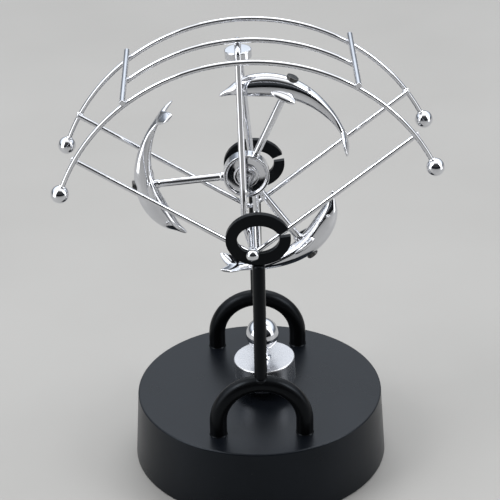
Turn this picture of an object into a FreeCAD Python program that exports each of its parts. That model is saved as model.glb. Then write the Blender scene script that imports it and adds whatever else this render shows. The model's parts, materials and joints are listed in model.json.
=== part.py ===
import FreeCAD, Part
import math
import os
import Sketcher

# Kinetic desk toy: a swinging wire frame that hangs in two C-shaped rings above a
# round base, with a three-dolphin rotor turning inside it. Millimetres, +Z up,
# origin at the middle of the base where it meets the table, front towards -Y.

OUTPUT_FOLDER = "parts"

SIZES = {
    # base shell and bottom cover
    "base_top_radius": 57.5,
    "base_bottom_radius": 59.6,
    "base_height": 33.2,
    "base_edge": 0.9,
    "shell_wall": 2.3,
    "cover_radius": 56.6,
    "cover_lift": 1.0,
    "cover_thickness": 2.6,
    "recess_depth": 1.7,
    "foot_radius": 5.0,
    "foot_circle": 50.0,
    "boss_radius": 3.5,
    "boss_circle": 51.0,
    "cover_screw_radius": 1.4,
    "cover_screw_head": 3.0,
    "cover_screw_length": 9.0,
    # battery compartment
    "cell_radius": 7.1,
    "cell_length": 50.5,
    "cell_pitch": 14.6,
    "box_width": 62.0,
    "box_depth": 56.0,
    "box_height": 16.0,
    "box_wall": 1.5,
    "opening_width": 58.0,
    "opening_depth": 50.6,
    "door_width": 64.0,
    "door_depth": 56.0,
    "door_thickness": 1.5,
    "door_gap": 0.3,
    "door_travel": 8.0,
    "contact_thickness": 0.4,
    # electromagnet and circuit board
    "core_radius": 3.0,
    "core_length": 10.9,
    "bobbin_radius": 12.0,
    "bobbin_height": 10.6,
    "bobbin_flange": 1.0,
    "drum_radius": 4.6,
    "winding_radius": 11.0,
    "board_width": 24.0,
    "board_depth": 18.0,
    "board_thickness": 1.6,
    "board_offset": 34.0,
    "board_level": 24.0,
    "spacer_radius": 2.0,
    "capacitor_radius": 2.5,
    "capacitor_height": 4.6,
    "transistor_width": 4.5,
    "lead_radius": 0.5,
    "supply_lead_across": 26.0,
    "supply_lead_along": 5.0,
    "coil_lead_along": 2.0,
    "capacitor_across": 28.0,
    "capacitor_along": 4.0,
    "transistor_across": 26.0,
    "transistor_along": -6.0,
    # arches, posts and C-shaped rings
    "arch_radius": 19.7,
    "arch_wire": 3.94,
    "arch_leg": 6.7,
    "arch_offset": 39.2,
    "arch_screw_radius": 1.5,
    "arch_screw_head": 3.2,
    "arch_screw_head_height": 2.2,
    "arch_screw_length": 12.0,
    "post_radius": 2.85,
    "post_overlap": 0.5,
    "ring_offset": 38.0,
    "ring_level": 132.5,
    "ring_outer_across": 14.2,
    "ring_outer_up": 12.4,
    "ring_inner_across": 9.2,
    "ring_inner_up": 6.8,
    "ring_thickness": 3.0,
    "ring_gap_low": 4.0,
    "ring_gap_high": 25.0,
    # swing frame, measured from its pivot
    "pivot_across": -2.6,
    "axle_radius": 1.6,
    "axle_clearance": 0.05,
    "swing_tilt": 3.0,
    "axle_inner": 19.4,
    "axle_outer": 42.0,
    "axle_ball": 2.9,
    "axle_ball_offset": 43.2,
    "leg_radius": 1.5,
    "leg_top": 79.5,
    "leg_shoulder": 7.4,
    "leg_spread": 20.5,
    "front_leg_lean": -2.8,
    "rear_leg_lean": 2.4,
    "front_knee_lean": 0.1,
    "rear_knee_lean": 2.4,
    "leg_knee_high": 3.0,
    "leg_knee_low": -11.0,
    "leg_foot": 1.6,
    "leg_foot_level": -58.3,
    "arc_radius": 88.0,
    "arc_wire": 1.1,
    "arc_centre": -6.2,
    "arc_half_angle": 68.0,
    "arc_ball": 4.0,
    "ball_seat": 0.5,
    "crossbar_radius": 1.35,
    "crossbar_half": 29.0,
    "crossbar_angle": 33.6,
    "middle_half_angle": 34.2,
    "vee_wire": 1.1,
    "vee_angle": 35.2,
    "vee_bend": 3.5,
    "vee_bottom": -9.9,
    "vee_reach": 92.0,
    "weld": 0.1,
    "disc_radius": 5.9,
    "disc_thickness": 3.9,
    "disc_edge": 0.5,
    "ball_radius": 7.6,
    "ball_level": -65.45,
    "bob_across": 0.9,
    "neck_radius": 2.2,
    "weight_radius": 14.3,
    "weight_top": -78.05,
    "weight_height": 11.7,
    "weight_edge": 0.6,
    "magnet_radius": 10.0,
    "magnet_height": 8.0,
    # rotor, measured from its own centre
    "rotor_level": 17.8,
    "rotor_across": -0.6,
    "rotor_turn": 62.4,
    "pin_radius": 0.95,
    "pin_half": 19.6,
    "bush_inner": 1.0,
    "bush_outer": 1.9,
    "bush_half": 4.5,
    "collar_radius": 1.8,
    "collar_start": 4.8,
    "collar_length": 1.6,
    "hub_radius": 10.3,
    "hub_half": 3.0,
    "hub_rim": 1.2,
    "hub_dish": 1.3,
    "hub_boss_outer": 5.4,
    "hub_boss_inner": 4.0,
    "hub_boss_dish": 0.7,
    "spoke_radius": 1.65,
    "spoke_start": 9.9,
    "spoke_end": 41.0,
    "cap_radius": 2.7,
    "cap_thickness": 1.2,
    "cap_seat": 50.0,
}

doc = FreeCAD.newDocument("kinetic_dolphin_toy")
sheet = doc.addObject("Spreadsheet::Sheet", "sizes")
for row, (alias, number) in enumerate(SIZES.items(), start=1):
    sheet.set(f"A{row}", alias)
    sheet.set(f"B{row}", str(number))
    sheet.setAlias(f"B{row}", alias)
doc.recompute()

FRONT, REAR = -1, 1
sub_parts = []


def size(alias):
    """The number in the sheet under this alias."""
    return float(getattr(sheet, alias))


def bind(item, **expressions):
    """Tie properties of an object to expressions of the sheet's aliases."""
    for name, expression in expressions.items():
        item.setExpression(name, expression)
    return item


def vector(x=0.0, y=0.0, z=0.0):
    return FreeCAD.Vector(x, y, z)


def turned(axis, angle):
    return FreeCAD.Rotation(axis, angle)


def placed(x=0.0, y=0.0, z=0.0, rotation=None):
    return FreeCAD.Placement(vector(x, y, z), rotation or FreeCAD.Rotation())


def keep(item, label, placement=None):
    """Register an object as a sub-part under its own label."""
    item.Label = label
    if placement is not None:
        item.Placement = placement
    sub_parts.append(item)
    return item


ALONG_Y = turned(vector(1, 0, 0), -90)


# ---------------------------------------------------------------- primitives

def cylinder(name, radius, height, placement):
    item = doc.addObject("Part::Cylinder", name)
    bind(item, Radius=radius, Height=height)
    item.Placement = placement
    return item


def sphere(name, radius, placement):
    item = doc.addObject("Part::Sphere", name)
    bind(item, Radius=radius)
    item.Placement = placement
    return item


def block(name, width, depth, height, placement):
    item = doc.addObject("Part::Box", name)
    bind(item, Length=width, Width=depth, Height=height)
    item.Placement = placement
    return item


def torus_segment(name, bend, wire, sweep, placement):
    item = doc.addObject("Part::Torus", name)
    bind(item, Radius1=bend, Radius2=wire, Angle3=sweep)
    item.Placement = placement
    return item


def fused(name, pieces):
    item = doc.addObject("Part::MultiFuse", name)
    item.Shapes = pieces
    return item


def cut(name, base, tool):
    item = doc.addObject("Part::Cut", name)
    item.Base = base
    item.Tool = tool
    return item


def group(name, pieces):
    """Several loose solids kept together as one sub-part."""
    item = doc.addObject("Part::Compound", name)
    item.Links = pieces
    return item


# ---------------------------------------------------------------- sketches

def new_body(name):
    return doc.addObject("PartDesign::Body", name)


def new_sketch(body, name, role, lift=0.0):
    sketch = body.newObject("Sketcher::SketchObject", name)
    plane = [item for item in body.Origin.OriginFeatures if item.Role == role][0]
    sketch.AttachmentSupport = [(plane, "")]
    sketch.MapMode = "FlatFace"
    sketch.AttachmentOffset = placed(0, 0, lift)
    return sketch


def pin_down(sketch, geometry, point, across, along):
    """Hold a point of a sketch at two expressions, across and along its plane."""
    where = sketch.getPoint(geometry, point)
    for kind, value, expression in (("DistanceX", where.x, across), ("DistanceY", where.y, along)):
        row = sketch.addConstraint(Sketcher.Constraint(kind, -1, 1, geometry, point, value))
        sketch.setExpression(f"Constraints[{row}]", expression)


def add_outline(sketch, corners):
    """A closed outline of straight edges through corners given as expressions."""
    first = sketch.GeometryCount
    count = len(corners)
    start = [vector(10 + 3 * math.cos(2 * math.pi * index / count),
                    10 + 3 * math.sin(2 * math.pi * index / count)) for index in range(count)]
    for index in range(count):
        sketch.addGeometry(Part.LineSegment(start[index], start[(index + 1) % count]), False)
    for index in range(count):
        following = first + (index + 1) % count
        sketch.addConstraint(Sketcher.Constraint("Coincident", first + index, 2, following, 1))
    for index, (across, along) in enumerate(corners):
        pin_down(sketch, first + index, 1, across, along)


def add_circle(sketch, radius, across, along):
    index = sketch.addGeometry(Part.Circle(vector(5, 5), vector(0, 0, 1), 2), False)
    row = sketch.addConstraint(Sketcher.Constraint("Radius", index, 2.0))
    sketch.setExpression(f"Constraints[{row}]", radius)
    pin_down(sketch, index, 3, across, along)


def add_rectangle(sketch, low_x, high_x, low_y, high_y):
    add_outline(sketch, [(low_x, low_y), (high_x, low_y), (high_x, high_y), (low_x, high_y)])


def revolve(body, sketch, axis):
    feature = body.newObject("PartDesign::Revolution", body.Name + "_turned")
    feature.Profile = sketch
    feature.ReferenceAxis = (sketch, [axis])
    feature.Angle = 360.0
    doc.recompute()
    return feature


def pad(body, sketch, length, name, symmetric=False):
    feature = body.newObject("PartDesign::Pad", name)
    feature.Profile = sketch
    feature.Midplane = symmetric
    feature.setExpression("Length", length)
    doc.recompute()
    return feature


def pocket_up(body, sketch, length, name):
    """Cut towards +Z from the sketch, and make sure that something went."""
    before = body.Shape.Volume
    feature = body.newObject("PartDesign::Pocket", name)
    feature.Profile = sketch
    feature.Reversed = True
    feature.setExpression("Length", length)
    doc.recompute()
    if body.Shape.Volume > before - 1.0:
        raise RuntimeError(f"{name} cuts nothing")
    return feature


# ---------------------------------------------------------------- base

CORNERS = [45.0, 135.0, 225.0, 315.0]


def on_circle(radius_expression, angle):
    return (f"{radius_expression} * cos({angle} deg)", f"{radius_expression} * sin({angle} deg)")


def make_base_shell():
    body = new_body("base_shell_body")
    profile = new_sketch(body, "shell_profile", "XZ_Plane")
    slope = "(sizes.base_bottom_radius - sizes.base_top_radius)"
    inside = "(sizes.base_bottom_radius - sizes.shell_wall)"
    add_outline(profile, [
        ("0", "sizes.base_height"),
        ("sizes.base_top_radius - sizes.base_edge", "sizes.base_height"),
        ("sizes.base_top_radius", "sizes.base_height - sizes.base_edge"),
        ("sizes.base_bottom_radius", "0"),
        (inside, "0"),
        (f"{inside} - {slope}", "sizes.base_height - sizes.shell_wall"),
        ("0", "sizes.base_height - sizes.shell_wall"),
    ])
    revolve(body, profile, "V_Axis")
    boss_level = size("cover_lift") + size("cover_thickness")
    bosses = new_sketch(body, "boss_sketch", "XY_Plane", boss_level)
    for angle in CORNERS:
        add_circle(bosses, "sizes.boss_radius", *on_circle("sizes.boss_circle", angle))
    reach = "sizes.base_height - sizes.cover_lift - sizes.cover_thickness - sizes.shell_wall / 2"
    pad(body, bosses, reach, "boss_pad")
    pilots = new_sketch(body, "pilot_sketch", "XY_Plane", boss_level)
    for angle in CORNERS:
        add_circle(pilots, "sizes.cover_screw_radius", *on_circle("sizes.boss_circle", angle))
    pocket_up(body, pilots, "sizes.cover_screw_length + 2", "pilot_holes")
    feet = new_sketch(body, "arch_hole_sketch", "XY_Plane")
    for across in ("-sizes.arch_radius", "sizes.arch_radius"):
        for along in ("-sizes.arch_offset", "sizes.arch_offset"):
            add_circle(feet, "sizes.arch_screw_radius + 0.1", across, along)
    pocket_up(body, feet, "sizes.base_height + 1", "arch_holes")
    return keep(body, "base_shell")


def make_base_cover():
    body = new_body("base_cover_body")
    lift = size("cover_lift")
    disc = new_sketch(body, "cover_disc", "XY_Plane", lift)
    add_circle(disc, "sizes.cover_radius", "0", "0")
    pad(body, disc, "sizes.cover_thickness", "cover_pad")
    recess = new_sketch(body, "door_recess", "XY_Plane", lift)
    half = "(sizes.door_width / 2 + sizes.door_gap)"
    low = "-(sizes.door_depth / 2 + sizes.door_gap)"
    high = "sizes.door_depth / 2 + sizes.door_gap + sizes.door_travel"
    add_rectangle(recess, f"-{half}", half, low, high)
    pocket_up(body, recess, "sizes.recess_depth", "recess_pocket")
    opening = new_sketch(body, "battery_opening", "XY_Plane", lift)
    add_rectangle(opening, "-sizes.opening_width / 2", "sizes.opening_width / 2",
                  "-sizes.opening_depth / 2", "sizes.opening_depth / 2")
    pocket_up(body, opening, "sizes.cover_thickness", "opening_pocket")
    heads = new_sketch(body, "head_recess", "XY_Plane", lift)
    for angle in CORNERS:
        add_circle(heads, "sizes.cover_screw_head + 0.3", *on_circle("sizes.boss_circle", angle))
    pocket_up(body, heads, "sizes.recess_depth", "head_pocket")
    holes = new_sketch(body, "cover_holes", "XY_Plane", lift)
    for angle in CORNERS:
        add_circle(holes, "sizes.cover_screw_radius + 0.2", *on_circle("sizes.boss_circle", angle))
    pocket_up(body, holes, "sizes.cover_thickness", "hole_pocket")
    return keep(body, "base_cover")


def make_battery_door():
    body = new_body("battery_door_body")
    sketch = new_sketch(body, "door_sketch", "XY_Plane", size("cover_lift"))
    add_rectangle(sketch, "-sizes.door_width / 2", "sizes.door_width / 2",
                  "-sizes.door_depth / 2", "sizes.door_depth / 2")
    pad(body, sketch, "sizes.door_thickness", "door_pad")
    return keep(body, "battery_door")


def make_battery_box():
    body = new_body("battery_box_body")
    floor = size("cover_lift") + size("cover_thickness")
    outside = new_sketch(body, "box_outside", "XY_Plane", floor)
    add_rectangle(outside, "-sizes.box_width / 2", "sizes.box_width / 2",
                  "-sizes.box_depth / 2", "sizes.box_depth / 2")
    pad(body, outside, "sizes.box_height", "box_pad")
    inside = new_sketch(body, "box_inside", "XY_Plane", floor)
    half_width = "(sizes.box_width / 2 - sizes.box_wall)"
    half_depth = "(sizes.box_depth / 2 - sizes.box_wall)"
    add_rectangle(inside, f"-{half_width}", half_width, f"-{half_depth}", half_depth)
    pocket_up(body, inside, "sizes.box_height - sizes.box_wall", "box_pocket")
    return keep(body, "battery_box")


CELL_PLACES = [-1.5, -0.5, 0.5, 1.5]


def make_batteries():
    level = size("cover_lift") + size("cover_thickness") + size("cell_radius") + 0.1
    start = -size("cell_length") / 2
    cells = []
    contacts = []
    for number, place in enumerate(CELL_PLACES, start=1):
        across = place * size("cell_pitch")
        cells.append(cylinder(f"cell_{number}", "sizes.cell_radius", "sizes.cell_length",
                              placed(across, start, level, ALONG_Y)))
        for side in (FRONT, REAR):
            wall = size("box_depth") / 2 - size("box_wall") - size("contact_thickness")
            depth = -wall - size("contact_thickness") if side == FRONT else wall
            contacts.append(block(f"contact_{number}_{'front' if side == FRONT else 'rear'}",
                                  "sizes.cell_radius", "sizes.contact_thickness",
                                  "sizes.cell_radius",
                                  placed(across - size("cell_radius") / 2, depth,
                                         level - size("cell_radius") / 2)))
    keep(group("battery_cell_group", cells), "battery_cells")
    keep(group("battery_contact_group", contacts), "battery_contacts")


def make_base_fasteners():
    feet = []
    screws = []
    for number, angle in enumerate(CORNERS):
        turn = math.radians(angle - 45.0)
        feet.append(cylinder(f"foot_{number}", "sizes.foot_radius", "sizes.cover_lift",
                             placed(size("foot_circle") * math.cos(turn),
                                    size("foot_circle") * math.sin(turn), 0)))
        turn = math.radians(angle)
        x = size("boss_circle") * math.cos(turn)
        y = size("boss_circle") * math.sin(turn)
        seat = size("cover_lift") + size("recess_depth")
        head = cylinder(f"cover_screw_head_{number}", "sizes.cover_screw_head",
                        "sizes.recess_depth - 0.2", placed(x, y, size("cover_lift") + 0.2))
        shank = cylinder(f"cover_screw_shank_{number}", "sizes.cover_screw_radius - 0.02",
                         "sizes.cover_screw_length", placed(x, y, seat))
        screws.append(fused(f"cover_screw_{number}", [head, shank]))
    keep(group("foot_group", feet), "rubber_feet")
    keep(group("cover_screw_group", screws), "cover_screws")


def make_electromagnet():
    """Iron core, bobbin and winding hung under the middle of the shell's top."""
    ceiling = size("base_height") - size("shell_wall")
    body = new_body("coil_bobbin_body")
    profile = new_sketch(body, "bobbin_profile", "XZ_Plane")
    top = "(sizes.base_height - sizes.shell_wall)"
    bottom = f"({top} - sizes.bobbin_height)"
    add_outline(profile, [
        ("sizes.core_radius + 0.05", top),
        ("sizes.bobbin_radius", top),
        ("sizes.bobbin_radius", f"{top} - sizes.bobbin_flange"),
        ("sizes.drum_radius", f"{top} - sizes.bobbin_flange"),
        ("sizes.drum_radius", f"{bottom} + sizes.bobbin_flange"),
        ("sizes.bobbin_radius", f"{bottom} + sizes.bobbin_flange"),
        ("sizes.bobbin_radius", bottom),
        ("sizes.core_radius + 0.05", bottom),
    ])
    revolve(body, profile, "V_Axis")
    keep(body, "coil_bobbin")
    keep(cylinder("core", "sizes.core_radius", "sizes.core_length",
                  placed(0, 0, ceiling - size("core_length"))), "coil_core")
    level = ceiling - size("bobbin_height") + size("bobbin_flange")
    height = "sizes.bobbin_height - 2 * sizes.bobbin_flange"
    outside = cylinder("winding_outside", "sizes.winding_radius", height, placed(0, 0, level))
    inside = cylinder("winding_inside", "sizes.drum_radius", height, placed(0, 0, level))
    keep(cut("winding_ring", outside, inside), "coil_winding")


def make_circuit():
    centre = size("board_offset")
    level = size("board_level")
    face = level + size("board_thickness")
    body = new_body("circuit_board_body")
    sketch = new_sketch(body, "board_sketch", "XY_Plane", level)
    add_rectangle(sketch, "sizes.board_offset - sizes.board_width / 2",
                  "sizes.board_offset + sizes.board_width / 2",
                  "-sizes.board_depth / 2", "sizes.board_depth / 2")
    pad(body, sketch, "sizes.board_thickness", "board_pad")
    keep(body, "circuit_board")
    rise = "sizes.base_height - sizes.shell_wall - sizes.board_level - sizes.board_thickness"
    inset = size("spacer_radius") + 0.5
    spacers = []
    for number, side in enumerate((FRONT, REAR)):
        across = centre + size("board_width") / 2 - inset
        along = side * (size("board_depth") / 2 - inset)
        spacers.append(cylinder(f"spacer_{number}", "sizes.spacer_radius", rise,
                                placed(across, along, face)))
    keep(group("spacer_group", spacers), "board_spacers")
    keep(cylinder("capacitor_can", "sizes.capacitor_radius", "sizes.capacitor_height",
                  placed(size("capacitor_across"), size("capacitor_along"), face)), "capacitor")
    keep(block("transistor_case", "sizes.transistor_width", "sizes.transistor_width - 1",
               "sizes.transistor_width",
               placed(size("transistor_across"), size("transistor_along"), face)), "transistor")
    box_top = size("cover_lift") + size("cover_thickness") + size("box_height")
    supply = []
    coil_ends = []
    rise = "sizes.board_level - sizes.cover_lift - sizes.cover_thickness - sizes.box_height"
    reach = "sizes.board_offset - sizes.board_width / 2 - sizes.winding_radius"
    towards_board = turned(vector(0, 1, 0), 90)
    for number, side in enumerate((FRONT, REAR)):
        foot = placed(size("supply_lead_across"), side * size("supply_lead_along"), box_top)
        supply.append(cylinder(f"supply_lead_{number}", "sizes.lead_radius", rise, foot))
        foot = placed(size("winding_radius"), side * size("coil_lead_along"),
                      level + size("board_thickness") / 2, towards_board)
        coil_ends.append(cylinder(f"coil_lead_{number}", "sizes.lead_radius", reach, foot))
    keep(group("supply_lead_group", supply), "battery_leads")
    keep(group("coil_lead_group", coil_ends), "coil_leads")


# ---------------------------------------------------------------- stand

def make_arch(side, name):
    """A bent rod standing on the base, with a tapped hole up each leg."""
    level = size("base_height")
    along = side * size("arch_offset")
    pieces = []
    holes = []
    for number, across in enumerate((-size("arch_radius"), size("arch_radius"))):
        pieces.append(cylinder(f"{name}_leg_{number}", "sizes.arch_wire", "sizes.arch_leg",
                               placed(across, along, level)))
        holes.append(cylinder(f"{name}_hole_{number}", "sizes.arch_screw_radius + 0.02",
                              "sizes.arch_screw_length - sizes.shell_wall + 0.5",
                              placed(across, along, level)))
    pieces.append(torus_segment(f"{name}_bend", "sizes.arch_radius", "sizes.arch_wire", "180",
                                placed(0, along, level + size("arch_leg"),
                                       turned(vector(1, 0, 0), 90))))
    rod = fused(f"{name}_rod", pieces)
    return keep(cut(f"{name}_drilled", rod, fused(f"{name}_holes", holes)), name)


def make_arch_screws():
    ceiling = size("base_height") - size("shell_wall")
    screws = []
    for across in (-1, 1):
        for side in (FRONT, REAR):
            x = across * size("arch_radius")
            y = side * size("arch_offset")
            name = f"arch_screw_{across + 1}_{side + 1}"
            head = cylinder(f"{name}_head", "sizes.arch_screw_head", "sizes.arch_screw_head_height",
                            placed(x, y, ceiling - size("arch_screw_head_height")))
            shank = cylinder(f"{name}_shank", "sizes.arch_screw_radius", "sizes.arch_screw_length",
                             placed(x, y, ceiling))
            screws.append(fused(name, [head, shank]))
    keep(group("arch_screw_group", screws), "arch_screws")


def oval(name, across, up, placement):
    """A flat oval plate of the ring's thickness, standing in the XZ plane."""
    curve = doc.addObject("Part::Ellipse", f"{name}_curve")
    bind(curve, MajorRadius=across, MinorRadius=up)
    plate = doc.addObject("Part::Extrusion", name)
    plate.Base = curve
    plate.DirMode = "Custom"
    plate.Dir = vector(0, 0, 1)
    plate.Solid = True
    bind(plate, LengthFwd="sizes.ring_thickness")
    plate.Placement = placement
    return plate


def make_ring(side, name):
    """C-shaped ring: an oval ring with a slanted slot on its right side."""
    back = side * size("ring_offset") + size("ring_thickness") / 2
    upright = turned(vector(1, 0, 0), 90)
    stand = placed(0, back, size("ring_level"), upright)
    outside = oval(f"{name}_outside", "sizes.ring_outer_across", "sizes.ring_outer_up", stand)
    inside = oval(f"{name}_inside", "sizes.ring_inner_across", "sizes.ring_inner_up", stand)
    annulus = cut(f"{name}_annulus", outside, inside)
    opening = math.radians(size("ring_gap_high") - size("ring_gap_low"))
    middle = (size("ring_gap_high") + size("ring_gap_low")) / 2
    middle_radius = (size("ring_outer_across") + size("ring_inner_across")) / 2
    slot_width = 2 * middle_radius * math.tan(opening / 2)
    slot = doc.addObject("Part::Box", f"{name}_slot")
    bind(slot, Length="2 * sizes.ring_outer_across", Width="sizes.ring_thickness + 2")
    slot.Height = slot_width
    lean = turned(vector(0, 1, 0), -middle)
    corner = lean.multVec(vector(0, 0, -slot_width / 2))
    slot.Placement = placed(corner.x, back - size("ring_thickness") - 1,
                            size("ring_level") + corner.z, lean)
    return keep(cut(f"{name}_c", annulus, slot), name)


def make_post(side, name, arch, ring):
    """Straight rod from the top of the arch to the underside of the ring."""
    foot = size("base_height") + size("arch_leg") + size("arch_radius")
    head = size("ring_level") - size("ring_outer_up") + size("post_overlap")
    start = vector(0, side * size("arch_offset"), foot)
    end = vector(0, side * size("ring_offset"), head)
    lean = FreeCAD.Rotation(vector(0, 0, 1), end - start)
    rod = doc.addObject("Part::Cylinder", f"{name}_rod")
    bind(rod, Radius="sizes.post_radius")
    rod.Height = (end - start).Length
    rod.Placement = FreeCAD.Placement(start, lean)
    return keep(cut(f"{name}_fitted", rod, fused(f"{name}_seats", [arch, ring])), name)


# ---------------------------------------------------------------- swing frame

def pivot_point():
    """Centre of the axle pins where they rest in the lower curve of the rings."""
    across = size("pivot_across")
    gap = size("axle_radius") + size("axle_clearance")
    wide = size("ring_inner_across")
    tall = size("ring_inner_up")
    turn = 0.0
    for _ in range(60):
        slope = math.hypot(tall * math.sin(turn), wide * math.cos(turn))
        turn = math.asin(across / (wide - gap * tall / slope))
    slope = math.hypot(tall * math.sin(turn), wide * math.cos(turn))
    rise = -tall * math.cos(turn) + gap * wide * math.cos(turn) / slope
    return vector(across, 0, size("ring_level") + rise)


FRAME = FreeCAD.Placement(pivot_point(), turned(vector(0, 1, 0), -size("swing_tilt")))
ROTOR = FRAME.multiply(placed(size("rotor_across"), 0, size("rotor_level")))


def bent_wire(label, points, bends, radius, placement):
    """A round wire through points, its corners rounded to the given bend radii."""
    edges = []
    last = points[0]
    for index, bend in enumerate(bends, start=1):
        corner = points[index]
        towards = (points[index - 1] - corner).normalize()
        away = (points[index + 1] - corner).normalize()
        turn = math.pi - towards.getAngle(away)
        trim = bend * math.tan(turn / 2)
        start = corner + towards * trim
        end = corner + away * trim
        inward = (towards + away).normalize()
        middle = corner + inward * (bend / math.cos(turn / 2) - bend)
        edges.append(Part.makeLine(last, start))
        edges.append(Part.Arc(start, middle, end).toShape())
        last = end
    edges.append(Part.makeLine(last, points[-1]))
    path = Part.Wire(edges)
    heading = points[1] - points[0]
    profile = Part.Wire([Part.makeCircle(radius, points[0], heading)])
    item = doc.addObject("Part::Feature", f"{label}_wire")
    item.Shape = path.makePipeShell([profile], True, False)
    return keep(item, label, placement)


def hung(x=0.0, y=0.0, z=0.0, rotation=None):
    """A place given in the swing frame's own axes, from its pivot."""
    return FRAME.multiply(placed(x, y, z, rotation))


def arc_wire(name, along, half_angle, end_trim):
    """Wire bent to the arc radius, its middle straight above the arc centre."""
    trim = math.degrees(end_trim / size("arc_radius"))
    upright = turned(vector(1, 0, 0), 90)
    start = turned(vector(0, 1, 0), -(90 - size(half_angle) + trim))
    sweep = f"2 * (sizes.{half_angle} - {trim:.4f})"
    return torus_segment(name, "sizes.arc_radius", "sizes.arc_wire", sweep,
                         hung(0, along, size("arc_centre"), start.multiply(upright)))


def vee_plane():
    """Distance of the V wires from the middle: welded to the outside of the legs."""
    return size("leg_spread") + size("leg_radius") + size("vee_wire") - size("weld")


def arc_plane():
    """Distance of the outer arcs from the middle: welded to the outside of the V wires."""
    return vee_plane() + size("vee_wire") + size("arc_wire") - size("weld")


def make_arcs():
    angle = math.radians(size("arc_half_angle"))
    x = size("arc_radius") * math.sin(angle)
    z = size("arc_centre") + size("arc_radius") * math.cos(angle)
    trim = size("arc_ball") - size("ball_seat")
    balls = []
    for side, word in ((FRONT, "front"), (REAR, "rear")):
        along = side * arc_plane()
        keep(arc_wire(f"{word}_arc_rod", along, "arc_half_angle", trim), f"{word}_arc")
        for across, hand in ((-x, "left"), (x, "right")):
            balls.append(sphere(f"{word}_{hand}_arc_ball", "sizes.arc_ball", hung(across, along, z)))
    keep(group("arc_balls", balls), "arc_end_balls")
    keep(arc_wire("middle_arc_rod", 0, "middle_half_angle", 0), "middle_arc")


def make_crossbars():
    reach = size("arc_radius") + size("arc_wire") + size("crossbar_radius") - size("weld")
    angle = math.radians(size("crossbar_angle"))
    x = reach * math.sin(angle)
    z = size("arc_centre") + reach * math.cos(angle)
    for across, hand in ((-x, "left"), (x, "right")):
        keep(cylinder(f"{hand}_crossbar_rod", "sizes.crossbar_radius", "2 * sizes.crossbar_half",
                      hung(across, -size("crossbar_half"), z, ALONG_Y)), f"{hand}_crossbar")


def make_vee(side, word):
    """Wire bent to a wide V: two straight arms and a tight round bottom."""
    along = side * vee_plane()
    rise = math.radians(size("vee_angle"))
    centre = size("vee_bottom") + size("vee_bend")
    touch_x = size("vee_bend") * math.sin(rise)
    touch_z = centre - size("vee_bend") * math.cos(rise)
    arms = []
    for across, hand in ((-1, "left"), (1, "right")):
        lean = turned(vector(0, 1, 0), across * (90 - size("vee_angle")))
        arm = cylinder(f"{word}_vee_{hand}_arm", "sizes.vee_wire", "1",
                       hung(across * touch_x, along, touch_z, lean))
        arm.setExpression("Height", "sizes.vee_reach - sizes.vee_bend * tan(sizes.vee_angle * 1 deg)")
        arms.append(arm)
    upright = turned(vector(1, 0, 0), 90)
    start = turned(vector(0, 1, 0), 90 + size("vee_angle"))
    arms.append(torus_segment(f"{word}_vee_bottom", "sizes.vee_bend", "sizes.vee_wire",
                              "2 * sizes.vee_angle", hung(0, along, centre, start.multiply(upright))))
    return keep(fused(f"{word}_vee_rod", arms), f"{word}_vee")


# Radii of a leg's three bends: over the disc, above the axle and below it.
LEG_BENDS = [2.0, 9.0, 6.0]


def make_leg(side, word):
    """Bent wire from the middle arc, round the disc, out to the axle and in to the ball."""
    lean = size(f"{word}_leg_lean")
    points = [
        vector(0, 0, size("leg_top")),
        vector(0, side * size("leg_shoulder"), size("leg_top")),
        vector(lean, side * size("leg_spread"), size("leg_knee_high")),
        vector(size(f"{word}_knee_lean"), side * size("leg_spread"), size("leg_knee_low")),
        vector(size("bob_across"), side * size("leg_foot"), size("leg_foot_level")),
    ]
    return bent_wire(f"{word}_leg", points, LEG_BENDS, size("leg_radius"), FRAME)


def make_axle(side, word):
    """Short pin that rests in the ring, with a ball on its outer end."""
    length = "sizes.axle_outer - sizes.axle_inner"
    start = -size("axle_outer") if side == FRONT else size("axle_inner")
    pin = cylinder(f"{word}_axle_rod", "sizes.axle_radius", length, hung(0, start, 0, ALONG_Y))
    keep(pin, f"{word}_axle_pin")
    ball = sphere(f"{word}_axle_knob", "sizes.axle_ball", hung(0, side * size("axle_ball_offset"), 0))
    keep(cut(f"{word}_axle_knob_drilled", ball, pin), f"{word}_axle_ball")


def make_top_disc():
    body = new_body("top_disc_body")
    profile = new_sketch(body, "top_disc_profile", "XZ_Plane")
    top = "(sizes.leg_top - sizes.leg_radius)"
    bottom = f"({top} - sizes.disc_thickness)"
    add_outline(profile, [
        ("0", bottom),
        ("sizes.disc_radius - sizes.disc_edge", bottom),
        ("sizes.disc_radius", f"{bottom} + sizes.disc_edge"),
        ("sizes.disc_radius", f"{top} - sizes.disc_edge"),
        ("sizes.disc_radius - sizes.disc_edge", top),
        ("0", top),
    ])
    revolve(body, profile, "V_Axis")
    return keep(body, "top_disc", FRAME)


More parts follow.
